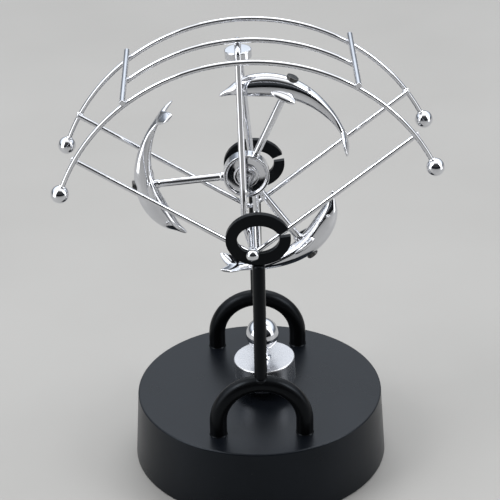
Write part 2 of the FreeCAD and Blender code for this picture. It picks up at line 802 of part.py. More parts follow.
def make_pendulum():
    """Ball, neck and hollow weight with the drive magnet in its underside."""
    across = size("bob_across")
    ball = keep(sphere("bob_sphere", "sizes.ball_radius", hung(across, 0, size("ball_level"))),
                "pendulum_ball")
    length = "sizes.ball_level - sizes.ball_radius / 2 - sizes.weight_top"
    rod = cylinder("neck_rod", "sizes.neck_radius", length, hung(across, 0, size("weight_top")))
    keep(cut("neck_fitted", rod, ball), "pendulum_neck")
    body = new_body("pendulum_weight_body")
    profile = new_sketch(body, "weight_profile", "XZ_Plane")
    bottom = "(sizes.weight_top - sizes.weight_height)"
    add_outline(profile, [
        ("0", "sizes.weight_top"),
        ("sizes.weight_radius - sizes.weight_edge", "sizes.weight_top"),
        ("sizes.weight_radius", "sizes.weight_top - sizes.weight_edge"),
        ("sizes.weight_radius", f"{bottom} + sizes.weight_edge"),
        ("sizes.weight_radius - sizes.weight_edge", bottom),
        ("sizes.magnet_radius", bottom),
        ("sizes.magnet_radius", f"{bottom} + sizes.magnet_height"),
        ("0", f"{bottom} + sizes.magnet_height"),
    ])
    revolve(body, profile, "V_Axis")
    keep(body, "pendulum_weight", hung(across, 0, 0))
    magnet = cylinder("drive_magnet_slug", "sizes.magnet_radius", "sizes.magnet_height",
                      hung(across, 0, size("weight_top") - size("weight_height")))
    keep(magnet, "drive_magnet")


def make_rotor_pin():
    across = size("rotor_across")
    level = size("rotor_level")
    pin = cylinder("rotor_pin_rod", "sizes.pin_radius", "2 * sizes.pin_half",
                   hung(across, -size("pin_half"), level, ALONG_Y))
    keep(pin, "rotor_pin")
    collars = []
    for side, word in ((FRONT, "front"), (REAR, "rear")):
        start = size("collar_start")
        along = start if side == REAR else -start - size("collar_length")
        collars.append(cylinder(f"{word}_collar", "sizes.collar_radius", "sizes.collar_length",
                                hung(across, along, level, ALONG_Y)))
    keep(cut("collars_bored", group("collar_pair", collars), pin), "rotor_collars")


# ---------------------------------------------------------------- rotor

def spun(angle):
    """The rotor's axes turned so that +X points along the spoke at this angle."""
    return ROTOR.multiply(placed(0, 0, 0, turned(vector(0, 1, 0), -angle)))


def make_hub():
    body = new_body("rotor_hub_body")
    profile = new_sketch(body, "hub_profile", "XY_Plane")
    face = "sizes.hub_half"
    dish = "sizes.hub_half - sizes.hub_dish"
    shallow = "sizes.hub_half - sizes.hub_boss_dish"
    front_half = [
        ("sizes.bush_outer", shallow),
        ("sizes.hub_boss_inner", shallow),
        ("sizes.hub_boss_inner", face),
        ("sizes.hub_boss_outer", face),
        ("sizes.hub_boss_outer", dish),
        ("sizes.hub_radius - sizes.hub_rim", dish),
        ("sizes.hub_radius - sizes.hub_rim", face),
        ("sizes.hub_radius", face),
    ]
    rear_half = [(across, f"-({along})") for across, along in reversed(front_half)]
    add_outline(profile, front_half + rear_half)
    revolve(body, profile, "V_Axis")
    keep(body, "rotor_hub", ROTOR)
    bush = new_body("hub_bush_body")
    section = new_sketch(bush, "bush_profile", "XY_Plane")
    add_rectangle(section, "sizes.bush_inner", "sizes.bush_outer", "-sizes.bush_half", "sizes.bush_half")
    revolve(bush, section, "V_Axis")
    keep(bush, "hub_bush", ROTOR)


# The dolphin lies along a circle round the rotor's axis: angle from its spoke in
# degrees (head positive), radius of its middle line, half depth and half width.
DOLPHIN_SECTIONS = [
    (40.5, 40.0, 0.55, 0.5),
    (36.0, 40.6, 1.4, 1.3),
    (31.5, 41.4, 2.9, 2.8),
    (24.0, 42.4, 4.7, 4.2),
    (14.0, 43.6, 5.7, 4.8),
    (2.0, 45.2, 5.4, 4.6),
    (-10.0, 46.0, 4.2, 3.8),
    (-21.0, 46.4, 2.9, 2.7),
    (-31.0, 46.6, 1.9, 1.8),
    (-39.0, 46.6, 1.3, 1.1),
    (-42.0, 46.5, 1.0, 0.9),
]
TIP_THINNING = 0.6


def polar(angle, radius, along=0.0):
    turn = math.radians(angle)
    return vector(radius * math.cos(turn), along, radius * math.sin(turn))


def oval_wire(angle, radius, half_depth, half_width):
    """An upright oval across the dolphin's middle line, deeper than it is wide."""
    centre = polar(angle, radius)
    outward = polar(angle, 1.0)
    curve = Part.Ellipse(centre + outward * half_depth, centre + vector(0, half_width, 0), centre)
    return Part.Wire([curve.toShape()])


def fin_wire(centre, chord, depth):
    """A flat four-sided section of a fin round its centre."""
    corners = [centre - chord - depth, centre + chord - depth,
               centre + chord + depth, centre - chord + depth]
    return Part.makePolygon(corners + corners[:1])


def fin(root, tip, angle, root_chord, tip_chord, depth):
    """A flat tapered fin, its chord along the dolphin and its depth along the spoke."""
    outward = polar(angle, 1.0)
    forward = vector(-outward.z, 0, outward.x)
    sections = [fin_wire(root, forward * root_chord, outward * depth),
                fin_wire(tip, forward * tip_chord, outward * (depth * TIP_THINNING))]
    return Part.makeLoft(sections, True, True)


def dolphin_shape():
    trunk = Part.makeLoft([oval_wire(*section) for section in DOLPHIN_SECTIONS], True, False)
    fins = []
    for side in (FRONT, REAR):
        fluke_root = polar(-41.0, 46.5)
        fluke_tip = polar(-47.5, 45.8, side * 7.6)
        fins.append(fin(fluke_root, fluke_tip, -44.0, root_chord=2.0, tip_chord=0.7, depth=0.6))
        flipper_root = polar(17.0, 40.5, side * 2.5)
        flipper_tip = polar(8.0, 38.0, side * 8.4)
        fins.append(fin(flipper_root, flipper_tip, 13.0, root_chord=2.3, tip_chord=0.8, depth=0.6))
    return trunk.fuse(fins).removeSplitter()


def make_rotor_arms():
    """Three spokes, each with a dolphin on its end and a black magnet cap on its back."""
    caps = []
    spokes = []
    dolphins = []
    shape = dolphin_shape()
    for number, word in enumerate(("upper", "left", "lower")):
        place = spun(size("rotor_turn") + 120.0 * number)
        lying = turned(vector(0, 1, 0), 90)
        rod = cylinder(f"{word}_spoke_rod", "sizes.spoke_radius", "sizes.spoke_end - sizes.spoke_start",
                       place.multiply(placed(size("spoke_start"), 0, 0, lying)))
        spokes.append(rod)
        keep(rod, f"{word}_spoke")
        cap = cylinder(f"{word}_cap_disc", "sizes.cap_radius", "sizes.cap_thickness",
                       place.multiply(placed(size("cap_seat"), 0, 0, lying)))
        caps.append(cap)
        solid = doc.addObject("Part::Feature", f"{word}_dolphin_cast")
        solid.Shape = shape
        solid.Placement = place
        dolphins.append(solid)
    for solid, rod, cap, word in zip(dolphins, spokes, caps, ("upper", "left", "lower")):
        seats = fused(f"{word}_dolphin_seats", [rod, cap])
        keep(cut(f"{word}_dolphin_fitted", solid, seats), f"{word}_dolphin")
    keep(group("cap_group", caps), "magnet_caps")


# ---------------------------------------------------------------- assembly

def make_stand():
    for side, word in ((FRONT, "front"), (REAR, "rear")):
        arch = make_arch(side, f"{word}_arch")
        ring = make_ring(side, f"{word}_ring")
        make_post(side, f"{word}_post", arch, ring)
    make_arch_screws()


def make_swing_frame():
    make_arcs()
    make_crossbars()
    for side, word in ((FRONT, "front"), (REAR, "rear")):
        make_vee(side, word)
        make_leg(side, word)
        make_axle(side, word)
    make_top_disc()
    make_pendulum()
    make_rotor_pin()


def make_base():
    make_base_shell()
    make_base_cover()
    make_battery_door()
    make_battery_box()
    make_batteries()
    make_base_fasteners()
    make_electromagnet()
    make_circuit()


def check_and_write():
    doc.recompute()
    for item in doc.Objects:
        if "Invalid" in item.State or "Error" in item.State:
            raise RuntimeError(f"{item.Name} did not compute")
    for item in sub_parts:
        if item.Shape.isNull() or not item.Shape.isValid() or not item.Shape.Solids:
            raise RuntimeError(f"{item.Label} has no valid solid")
    os.makedirs(OUTPUT_FOLDER, exist_ok=True)
    for item in sub_parts:
        item.Shape.exportStep(os.path.join(OUTPUT_FOLDER, f"{item.Label}.step"))
        print(f"{item.Label}: {len(item.Shape.Solids)} solid, {item.Shape.Volume:.1f} mm3")
    print("pivot", FRAME.Base, "rotor", ROTOR.Base)


make_base()
make_stand()
make_swing_frame()
make_hub()
make_rotor_arms()
check_and_write()
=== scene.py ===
import json
import math

import bmesh
import bpy
from mathutils import Matrix, Quaternion, Vector


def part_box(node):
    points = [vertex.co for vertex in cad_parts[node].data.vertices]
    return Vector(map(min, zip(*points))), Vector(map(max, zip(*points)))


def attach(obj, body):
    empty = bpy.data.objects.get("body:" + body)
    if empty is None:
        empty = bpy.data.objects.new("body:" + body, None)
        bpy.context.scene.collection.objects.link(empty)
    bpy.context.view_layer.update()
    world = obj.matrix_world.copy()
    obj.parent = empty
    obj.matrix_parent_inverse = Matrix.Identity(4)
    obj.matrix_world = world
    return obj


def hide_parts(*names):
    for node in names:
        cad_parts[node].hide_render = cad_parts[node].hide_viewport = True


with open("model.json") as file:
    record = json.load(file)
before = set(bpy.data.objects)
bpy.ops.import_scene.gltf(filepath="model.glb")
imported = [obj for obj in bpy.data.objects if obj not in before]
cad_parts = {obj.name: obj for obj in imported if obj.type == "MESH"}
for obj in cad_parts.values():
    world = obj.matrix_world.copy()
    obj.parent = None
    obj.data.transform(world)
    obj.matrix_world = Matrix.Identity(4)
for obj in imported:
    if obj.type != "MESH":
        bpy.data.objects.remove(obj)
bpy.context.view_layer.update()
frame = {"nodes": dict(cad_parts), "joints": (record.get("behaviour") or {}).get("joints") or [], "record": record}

# Kinetic desk toy: a chrome wire frame that swings in two black rings above a round
# base, and a rotor of three chrome dolphins. Sizes are millimetres and become metres
# when a mesh is made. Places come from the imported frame's boxes and joints.

MM = 0.001
FRONT, REAR = -1, 1
SIDES = {"front": FRONT, "rear": REAR}
LATHE_STEPS = 96
WIRE_SIDES = 28
SHARP_EDGE = 50.0


# ---------------------------------------------------------------- places

def span(node):
    """Lowest and highest corner of a CAD node, in millimetres."""
    low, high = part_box(node)
    return low / MM, high / MM


def middle(node):
    low, high = span(node)
    return (low + high) / 2


def extent(node):
    low, high = span(node)
    return high - low


def joint_place(name):
    for joint in frame["joints"]:
        if joint["name"] == name:
            return Vector(joint["pos_m"]) / MM
    raise ValueError(f"the record has no joint named {name}")


def angle_between(start, end):
    """Angle of the line from start to end above +X, seen from the front."""
    return math.atan2(end.z - start.z, end.x - start.x)


def turned(axis, radians):
    return Matrix.Rotation(radians, 4, axis)


def shifted(x=0.0, y=0.0, z=0.0):
    return Matrix.Translation((x, y, z))


ALONG_Y = turned("X", math.radians(-90))
ALONG_X = turned("Y", math.radians(90))
PIVOT = joint_place("frame_swing")
ROTOR_CENTRE = joint_place("rotor_spin")
TILT = angle_between(middle("left_crossbar"), middle("right_crossbar"))
SWING = shifted(*PIVOT) @ turned("Y", -TILT)
SPOKE_TURN = angle_between(ROTOR_CENTRE, middle("upper_spoke"))
ARMS = ("upper", "left", "lower")


def arm_place(number):
    """Axes of one rotor arm: +X along its spoke from the rotor's centre."""
    turn = SPOKE_TURN + number * 2 * math.pi / len(ARMS)
    return shifted(*ROTOR_CENTRE) @ turned("Y", -turn)


def polar(angle, radius, along=0.0):
    """A point of a rotor arm by its angle from the spoke in degrees and its radius."""
    turn = math.radians(angle)
    return Vector((radius * math.cos(turn), along, radius * math.sin(turn)))


# ---------------------------------------------------------------- shapes
# A shape is a list of points and a list of faces over them.

def joined(shapes):
    points = []
    faces = []
    for shape_points, shape_faces in shapes:
        start = len(points)
        points.extend(shape_points)
        faces.extend([[start + index for index in face] for face in shape_faces])
    return points, faces


def moved(shape, place):
    points, faces = shape
    return [place @ point for point in points], faces


def softened(corners, bend, steps=5, closed=False):
    """A flat outline with every corner rounded by a short curve."""
    outline = []
    last = len(corners) - 1
    for index, corner in enumerate(corners):
        here = Vector(corner)
        if not closed and index in (0, last):
            outline.append(here)
            continue
        before = Vector(corners[index - 1]) - here
        after = Vector(corners[(index + 1) % len(corners)]) - here
        trim = min(bend, 0.45 * before.length, 0.45 * after.length)
        start = here + before.normalized() * trim
        end = here + after.normalized() * trim
        for step in range(steps + 1):
            share = step / steps
            outline.append(start.lerp(here, share).lerp(here.lerp(end, share), share))
    return outline


def lathe(profile, closed=False, steps=LATHE_STEPS):
    """Turn an outline of (radius, height) points round the Z axis."""
    points = []
    rings = []
    for radius, height in profile:
        count = 1 if radius < 1e-6 else steps
        rings.append(list(range(len(points), len(points) + count)))
        for index in range(count):
            turn = 2 * math.pi * index / steps
            points.append(Vector((radius * math.cos(turn), radius * math.sin(turn), height)))
    pairs = list(zip(rings, rings[1:]))
    if closed:
        pairs.append((rings[-1], rings[0]))
    faces = []
    for low, high in pairs:
        for index in range(steps):
            following = (index + 1) % steps
            face = [low[index % len(low)], low[following % len(low)],
                    high[following % len(high)], high[index % len(high)]]
            faces.append(list(dict.fromkeys(face)))
    return points, [face for face in faces if len(face) > 2]


def headings(path):
    """Unit directions along a path, averaged at its inner points."""
    found = []
    last = len(path) - 1
    for index in range(len(path)):
        before = path[max(index - 1, 0)]
        after = path[min(index + 1, last)]
        found.append((after - before).normalized())
    return found


def rod(path, radius, rim=0.3, sides=WIRE_SIDES):
    """A round wire along a path, with flat ends whose rims are rounded."""
    rim_steps = 4
    directions = headings(path)
    start_rim = []
    end_rim = []
    for step in range(rim_steps):
        turn = math.radians(90 * step / rim_steps)
        inset = rim * (1 - math.cos(turn))
        narrow = radius - rim * (1 - math.sin(turn))
        start_rim.append((path[0] + directions[0] * inset, directions[0], narrow))
        end_rim.append((path[-1] - directions[-1] * inset, directions[-1], narrow))
    first = path[0] + directions[0] * rim
    final = path[-1] - directions[-1] * rim
    body = [first, *path[1:-1], final]
    stations = start_rim
    stations += [(place, heading, radius) for place, heading in zip(body, directions)]
    stations += reversed(end_rim)
    across = directions[0].orthogonal().normalized()
    points = []
    for place, heading, width in stations:
        across = (across - heading * across.dot(heading)).normalized()
        upright = heading.cross(across)
        for index in range(sides):
            turn = 2 * math.pi * index / sides
            points.append(place + (across * math.cos(turn) + upright * math.sin(turn)) * width)
    faces = [list(range(sides))[::-1], list(range(len(points) - sides, len(points)))]
    for ring in range(len(stations) - 1):
        for index in range(sides):
            low = ring * sides
            following = (index + 1) % sides
            faces.append([low + index, low + following, low + sides + following, low + sides + index])
    return points, faces


def line(start, end, steps=2):
    return [start.lerp(end, index / steps) for index in range(steps + 1)]


def arc(centre, radius, start, end, along=0.0, steps=96):
    """Points of an upright circle in the XZ plane, angles in degrees above +X."""
    path = []
    for index in range(steps + 1):
        turn = math.radians(start + (end - start) * index / steps)
        path.append(Vector((centre[0] + radius * math.cos(turn), along,
                            centre[1] + radius * math.sin(turn))))
    return path


def bent(points, bends, steps=12):
    """A line through points whose inner corners are rounded to the bend radii."""
    path = [points[0]]
    for index, bend in enumerate(bends, start=1):
        corner = points[index]
        towards = (points[index - 1] - corner).normalized()
        away = (points[index + 1] - corner).normalized()
        half = (math.pi - towards.angle(away)) / 2
        inward = (towards + away).normalized()
        centre = corner + inward * (bend / math.cos(half))
        start = corner + towards * (bend * math.tan(half)) - centre
        end = corner + away * (bend * math.tan(half)) - centre
        for step in range(steps + 1):
            share = step / steps
            path.append(centre + start.lerp(end, share).normalized() * bend)
    path.append(points[-1])
    return path


def ball(radius, steps=48):
    """A turned ball whose poles are single points."""
    profile = []
    for index in range(steps + 1):
        turn = math.pi * index / steps
        profile.append((radius * math.sin(turn), radius * math.cos(turn)))
    profile[0] = (0.0, radius)
    profile[-1] = (0.0, -radius)
    return lathe(profile)


def slab(outline, low, high):
    """A flat outline in the XY plane, given thickness along Z."""
    count = len(outline)
    points = [Vector((x, y, low)) for x, y in outline] + [Vector((x, y, high)) for x, y in outline]
    faces = [list(range(count))[::-1], list(range(count, 2 * count))]
    for index in range(count):
        following = (index + 1) % count
        faces.append([index, following, count + following, count + index])
    return points, faces


def bead(centre, along, length, width):
    """A smooth bead of solder round a joint, longer along one direction."""
    lengthwise = along.normalized()
    turn = Vector((0, 0, 1)).rotation_difference(lengthwise).to_matrix().to_4x4()
    shape = []
    steps = 16
    for index in range(steps + 1):
        angle = math.pi * index / steps
        waist = 1 + 0.08 * math.cos(4 * angle)
        shape.append((width * waist * math.sin(angle), length * math.cos(angle)))
    shape[0] = (0.0, length)
    shape[-1] = (0.0, -length)
    return moved(lathe(shape, steps=24), shifted(*centre) @ turn)


def make_piece(name, shape, place, body, material, nodes=(), flat_faces=True, smoothing=0):
    """A shape in millimetres becomes a piece on a body, dressed in the named material."""
    points, faces = moved(shape, place)
    mesh = bpy.data.meshes.new(name)
    mesh.from_pydata([point * MM for point in points], [], faces)
    work = bmesh.new()
    work.from_mesh(mesh)
    bmesh.ops.recalc_face_normals(work, faces=work.faces)
    for face in work.faces:
        face.smooth = True
    work.to_mesh(mesh)
    work.free()
    piece = bpy.data.objects.new(name, mesh)
    bpy.context.scene.collection.objects.link(piece)
    mesh.materials.append(MATERIALS[material])
    if smoothing:
        subdivision = piece.modifiers.new("smooth", "SUBSURF")
        subdivision.levels = smoothing
        subdivision.render_levels = smoothing
    if flat_faces:
        weighted = piece.modifiers.new("flat faces", "WEIGHTED_NORMAL")
        weighted.weight = 80
    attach(piece, body)
    if nodes:
        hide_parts(*nodes)
    return piece


def soften_edges(piece, width):
    """Round a piece's sharp edges before its shading is evened out."""
    bevel = piece.modifiers.new("rounded edges", "BEVEL")
    bevel.width = width * MM
    bevel.segments = 3
    bevel.limit_method = "ANGLE"
    bevel.angle_limit = math.radians(SHARP_EDGE)
    bevel.harden_normals = False
    while piece.modifiers[0] != bevel:
        piece.modifiers.move(piece.modifiers.find(bevel.name), 0)


def cut_out(piece, name, shape):
    """Take a shape away from a piece for good."""
    points, faces = shape
    mesh = bpy.data.meshes.new(name)
    mesh.from_pydata([point * MM for point in points], [], faces)
    cutter = bpy.data.objects.new(name, mesh)
    bpy.context.scene.collection.objects.link(cutter)
    tool = piece.modifiers.new("cut", "BOOLEAN")
    tool.operation = "DIFFERENCE"
    tool.solver = "EXACT"
    tool.use_self = True
    tool.object = cutter
    bpy.context.view_layer.update()
    result = bpy.data.meshes.new_from_object(piece.evaluated_get(bpy.context.evaluated_depsgraph_get()))
    piece.modifiers.remove(tool)
    old = piece.data
    piece.data = result
    bpy.data.meshes.remove(old)
    bpy.data.objects.remove(cutter)


# ---------------------------------------------------------------- materials

MATERIALS = {}


def new_material(name):
    """A fresh node material, kept under its own name for the pieces to look up."""
    material = bpy.data.materials.new(name)
    MATERIALS[name] = material
    material.use_nodes = True
    tree = material.node_tree
    shader = tree.nodes["Principled BSDF"]
    place = tree.nodes.new("ShaderNodeTexCoord").outputs["Object"]
    return tree, shader, place


def noise(tree, place, scale, detail=3.0):
    """Cloudy variation whose patches are about one over scale metres wide."""
    node = tree.nodes.new("ShaderNodeTexNoise")
    node.inputs["Scale"].default_value = scale
    node.inputs["Detail"].default_value = detail
    tree.links.new(place, node.inputs["Vector"])
    return node.outputs["Fac"]


def ramp(tree, factor, stops):
    """Colours or greys along a factor: stops are (position, colour)."""
    node = tree.nodes.new("ShaderNodeValToRGB")
    elements = node.color_ramp.elements
    while len(elements) < len(stops):
        elements.new(0.5)
    for element, (position, colour) in zip(elements, stops):
        element.position = position
        element.color = (*colour, 1.0)
    tree.links.new(factor, node.inputs["Fac"])
    return node.outputs["Color"]


def grey(value):
    return (value, value, value)


def roughen(tree, shader, factor, low, high):
    node = tree.nodes.new("ShaderNodeMapRange")
    node.inputs["From Min"].default_value = 0.3
    node.inputs["From Max"].default_value = 0.7
    node.inputs["To Min"].default_value = low
    node.inputs["To Max"].default_value = high
    tree.links.new(factor, node.inputs["Value"])
    tree.links.new(node.outputs["Result"], shader.inputs["Roughness"])


def emboss(tree, shader, height, depth, strength=0.5):
    """Relief from a height pattern, its depth in metres."""
    node = tree.nodes.new("ShaderNodeBump")
    node.inputs["Strength"].default_value = strength
    node.inputs["Distance"].default_value = depth
    tree.links.new(height, node.inputs["Height"])
    tree.links.new(node.outputs["Normal"], shader.inputs["Normal"])


def chrome(name, wobble_scale, wobble_depth, sleek, tone=1.0):
    """Plating with faint tarnish, polishing haze and a slightly uneven surface; tone darkens it."""
    tree, shader, place = new_material(name)
    shader.inputs["Metallic"].default_value = 1.0
    tarnish = noise(tree, place, 70.0)
    dull = [part * tone for part in (0.66, 0.67, 0.70)]
    bright = [part * tone for part in (0.74, 0.75, 0.78)]
    colour = ramp(tree, tarnish, [(0.3, dull), (0.7, bright)])
    tree.links.new(colour, shader.inputs["Base Color"])
    roughen(tree, shader, noise(tree, place, 220.0), sleek, sleek + 0.05)
    emboss(tree, shader, noise(tree, place, wobble_scale, 1.0), wobble_depth)


def moulded_black(name, dark, light, low, high, grain, depth, gloss):
    """Black surface with fine grain, cloudy sheen, a few specks of dust and a painted blue cast on its
    reflections.
    """
    tree, shader, place = new_material(name)
    cloud = noise(tree, place, 45.0)
    body = ramp(tree, cloud, [(0.3, dark), (0.7, light)])
    specks = tree.nodes.new("ShaderNodeTexVoronoi")
    specks.inputs["Scale"].default_value = 160.0
    tree.links.new(place, specks.inputs["Vector"])
    dust = ramp(tree, specks.outputs["Distance"], [(0.0, grey(0.10)), (0.035, grey(0.0))])
    added = tree.nodes.new("ShaderNodeMix")
    added.data_type = "RGBA"
    added.blend_type = "ADD"
    added.inputs["Factor"].default_value = 0.8
    tree.links.new(body, added.inputs["A"])
    tree.links.new(dust, added.inputs["B"])
    tree.links.new(added.outputs["Result"], shader.inputs["Base Color"])
    roughen(tree, shader, cloud, low, high)
    emboss(tree, shader, noise(tree, place, grain), depth)
    shader.inputs["Specular IOR Level"].default_value = gloss
    # Blue specular tint: a painted blue cast on the surface's real reflections, standing in for a blue sky's
    # sheen.
    shader.inputs["Specular Tint"].default_value = (0.78, 0.88, 1.0, 1.0)


def plain_metal(name, dark, light, low, high, scale):
    """Unpolished plated or turned metal with streaks of duller plating."""
    tree, shader, place = new_material(name)
    shader.inputs["Metallic"].default_value = 1.0
    streaks = noise(tree, place, scale, 6.0)
    tree.links.new(ramp(tree, streaks, [(0.3, dark), (0.7, light)]), shader.inputs["Base Color"])
    roughen(tree, shader, streaks, low, high)
    emboss(tree, shader, streaks, 0.00005)


def plain_plastic(name, dark, light, low, high, scale):
    tree, shader, place = new_material(name)
    cloud = noise(tree, place, scale)
    tree.links.new(ramp(tree, cloud, [(0.3, dark), (0.7, light)]), shader.inputs["Base Color"])
    roughen(tree, shader, cloud, low, high)
    emboss(tree, shader, noise(tree, place, scale * 12), 0.00003)


def wound_copper(name):
    """Enamelled wire wound in even turns: bands across the winding's height, darker in the grooves between turns
    as painted shade and brighter on each turn's crown as painted highlight.
    """
    tree, shader, place = new_material(name)
    shader.inputs["Metallic"].default_value = 1.0
    turns = tree.nodes.new("ShaderNodeTexWave")
    turns.bands_direction = "Z"
    turns.inputs["Scale"].default_value = 800.0
    tree.links.new(place, turns.inputs["Vector"])
    # Dark to bright copper over each band: painted shade in the grooves, painted highlight on the crowns.
    colour = ramp(tree, turns.outputs["Fac"], [(0.1, (0.28, 0.10, 0.04)), (0.8, (0.80, 0.42, 0.20))])
    tree.links.new(colour, shader.inputs["Base Color"])
    roughen(tree, shader, noise(tree, place, 500.0), 0.2, 0.35)
    emboss(tree, shader, turns.outputs["Fac"], 0.0002, 1.0)


def circuit_green(name):
    """Green solder mask over paler tracks that run between small cells."""
    tree, shader, place = new_material(name)
    cells = tree.nodes.new("ShaderNodeTexVoronoi")
    cells.feature = "DISTANCE_TO_EDGE"
    cells.inputs["Scale"].default_value = 260.0
    tree.links.new(place, cells.inputs["Vector"])
    colour = ramp(tree, cells.outputs["Distance"], [(0.06, (0.10, 0.38, 0.16)), (0.10, (0.02, 0.16, 0.06))])
    tree.links.new(colour, shader.inputs["Base Color"])
    roughen(tree, shader, noise(tree, place, 400.0), 0.25, 0.4)
    emboss(tree, shader, cells.outputs["Distance"], 0.00005)


def battery_sleeve(name):
    """Plain shrink sleeve in two bands, with a bare metal tone at the ends."""
    tree, shader, place = new_material(name)
    split = tree.nodes.new("ShaderNodeSeparateXYZ")
    tree.links.new(place, split.inputs["Vector"])
    scaled = tree.nodes.new("ShaderNodeMapRange")
    half = extent("battery_cells").y / 2 * MM
    scaled.inputs["From Min"].default_value = -half
    scaled.inputs["From Max"].default_value = half
    tree.links.new(split.outputs["Y"], scaled.inputs["Value"])
    colour = ramp(tree, scaled.outputs["Result"], [
        (0.02, grey(0.55)), (0.03, (0.05, 0.06, 0.08)), (0.70, (0.05, 0.06, 0.08)),
        (0.71, (0.45, 0.30, 0.08)), (0.97, (0.45, 0.30, 0.08)), (0.98, grey(0.55))])
    tree.links.new(colour, shader.inputs["Base Color"])
    roughen(tree, shader, noise(tree, place, 150.0), 0.22, 0.32)
    emboss(tree, shader, noise(tree, place, 300.0), 0.00003)


def make_materials():
    chrome("wire_chrome", 180.0, 0.00004, 0.03)
    chrome("weight_chrome", 90.0, 0.00003, 0.04)
    chrome("rotor_chrome", 120.0, 0.00012, 0.04)
    chrome("satin_weight", 90.0, 0.00003, 0.24, 0.72)
    # The satin plastic's body colour is black with a blue cast; the black is its own colour, the blue is a painted
    # reflection of a blue sky's sheen.
    moulded_black("black_satin_plastic", (0.0026, 0.0034, 0.0050), (0.0044, 0.0055, 0.0080),
                  0.26, 0.34, 2600.0, 0.00002, 0.22)
    moulded_black("black_matte_plastic", (0.015, 0.015, 0.016), (0.026, 0.026, 0.028),
                  0.50, 0.62, 1500.0, 0.00006, 0.4)
    moulded_black("black_powder_coat", (0.0020, 0.0021, 0.0024), (0.0036, 0.0037, 0.0042),
                  0.26, 0.36, 1800.0, 0.00003, 0.13)
    battery_sleeve("battery_sleeve")
    plain_metal("contact_steel", (0.55, 0.54, 0.50), (0.76, 0.75, 0.72), 0.22, 0.35, 300.0)
    plain_plastic("foot_rubber", grey(0.018), grey(0.034), 0.75, 0.9, 300.0)
    plain_metal("screw_steel", (0.46, 0.47, 0.48), (0.70, 0.70, 0.71), 0.25, 0.4, 400.0)
    plain_plastic("bobbin_plastic", (0.62, 0.60, 0.54), (0.78, 0.77, 0.72), 0.4, 0.5, 120.0)
    wound_copper("copper_wire")
    circuit_green("board_green")
    plain_plastic("component_black", grey(0.015), grey(0.03), 0.25, 0.4, 400.0)
    plain_plastic("lead_insulation", (0.40, 0.02, 0.015), (0.60, 0.05, 0.04), 0.35, 0.45, 200.0)
    plain_metal("bush_steel", (0.50, 0.50, 0.51), (0.72, 0.72, 0.73), 0.15, 0.28, 350.0)
    plain_metal("magnet_black", grey(0.05), grey(0.11), 0.28, 0.42, 500.0)


def dress_cad_nodes():
    """Every CAD node gets the material of its slot in the record."""
    for row in frame["record"]["subparts"]:
        mesh = frame["nodes"][row["node"]].data
        mesh.materials.clear()
        mesh.materials.append(MATERIALS[row["material_slot"]])


# ---------------------------------------------------------------- base

BASE_EDGE = 0.9
SHELL_WALL = 2.3
FOOT_RADIUS = 5.0
FOOT_DISH = 2.8
FOOT_DISH_DEPTH = 0.3
SCREW_HEAD = 3.0
SCREW_SHANK = 1.38
SCREW_CROWN = 1.0
RECESS_HALF_LENGTH = 1.7
RECESS_HALF_WIDTH = 0.35
RECESS_TAPER = 0.6
GRIP_WIDTH = 22.0
GRIP_PITCH = 2.2
GRIP_RIDGES = 7
GRIP_INSET = 6.0
GRIP_RADIUS = 0.5


def make_base_shell():
    """Turned outside of the shell with a softly rounded top edge, hollow below."""
    low, high = span("base_shell")
    wide = high.x
    narrow = extent("base_cover").x / 2 + BASE_EDGE
    inside = wide - SHELL_WALL
    outline = softened([
        (0.0, high.z),
        (narrow, high.z),
        (wide, low.z),
        (inside, low.z),
        (narrow - SHELL_WALL, high.z - SHELL_WALL),
        (0.0, high.z - SHELL_WALL),
    ], BASE_EDGE)
    make_piece("shell_moulding", lathe(outline, steps=192), Matrix(), "stand",
               "black_satin_plastic", ["base_shell"])


def make_feet():
    """Four rubber feet with rounded rims and a shallow dish below."""
    centre = middle("rubber_feet")
    size = extent("rubber_feet")
    top = span("rubber_feet")[1].z
    reach = size.x / 2 - FOOT_RADIUS
    outline = softened([(0.0, top), (FOOT_RADIUS, top), (FOOT_RADIUS, 0.0), (FOOT_DISH + 0.6, 0.0),
                        (FOOT_DISH, FOOT_DISH_DEPTH), (0.0, FOOT_DISH_DEPTH)], 0.35)
    feet = []
    for number in range(4):
        turn = math.pi / 2 * number
        place = shifted(centre.x + reach * math.cos(turn), centre.y + reach * math.sin(turn))
        feet.append(moved(lathe(outline, steps=48), place))
    make_piece("foot_pads", joined(feet), Matrix(), "stand", "foot_rubber", ["rubber_feet"])


def make_cover_screws():
    """Pan heads with a cross recess, sunk in the bottom cover."""
    low, high = span("cover_screws")
    reach = high.x - SCREW_HEAD
    outline = softened([
        (0.0, low.z + 0.05),
        (0.7 * SCREW_HEAD, low.z),
        (SCREW_HEAD, low.z + SCREW_CROWN),
        (SCREW_HEAD, low.z + 1.4),
        (SCREW_SHANK, low.z + 1.5),
        (SCREW_SHANK, high.z - 1.0),
        (0.0, high.z),
    ], 0.25)
    screw = lathe(outline, steps=40)
    slots = []
    for turn in (0.0, math.pi / 2):
        half = [(across * RECESS_HALF_LENGTH, along * RECESS_HALF_WIDTH)
                for across, along in ((-1, -1), (1, -1), (1, 1), (-1, 1))]
        below = [turned("Z", turn) @ Vector((x, y, low.z - 0.5)) for x, y in half]
        above = [turned("Z", turn) @ Vector((x * RECESS_TAPER, y, low.z + 0.8)) for x, y in half]
        slots.append((below + above, [[0, 1, 2, 3], [7, 6, 5, 4], [0, 4, 5, 1], [1, 5, 6, 2],
                                      [2, 6, 7, 3], [3, 7, 4, 0]]))
    screws = []
    for number in range(4):
        turn = math.radians(45 + 90 * number)
        radius = reach * math.sqrt(2)
        screws.append(shifted(radius * math.cos(turn), radius * math.sin(turn)))
    heads = make_piece("screw_heads", joined([moved(screw, place) for place in screws]), Matrix(),
                       "stand", "screw_steel", ["cover_screws"], flat_faces=False)
    cross = joined([moved(slot, place) for place in screws for slot in slots])
    cut_out(heads, "screw_crosses", cross)


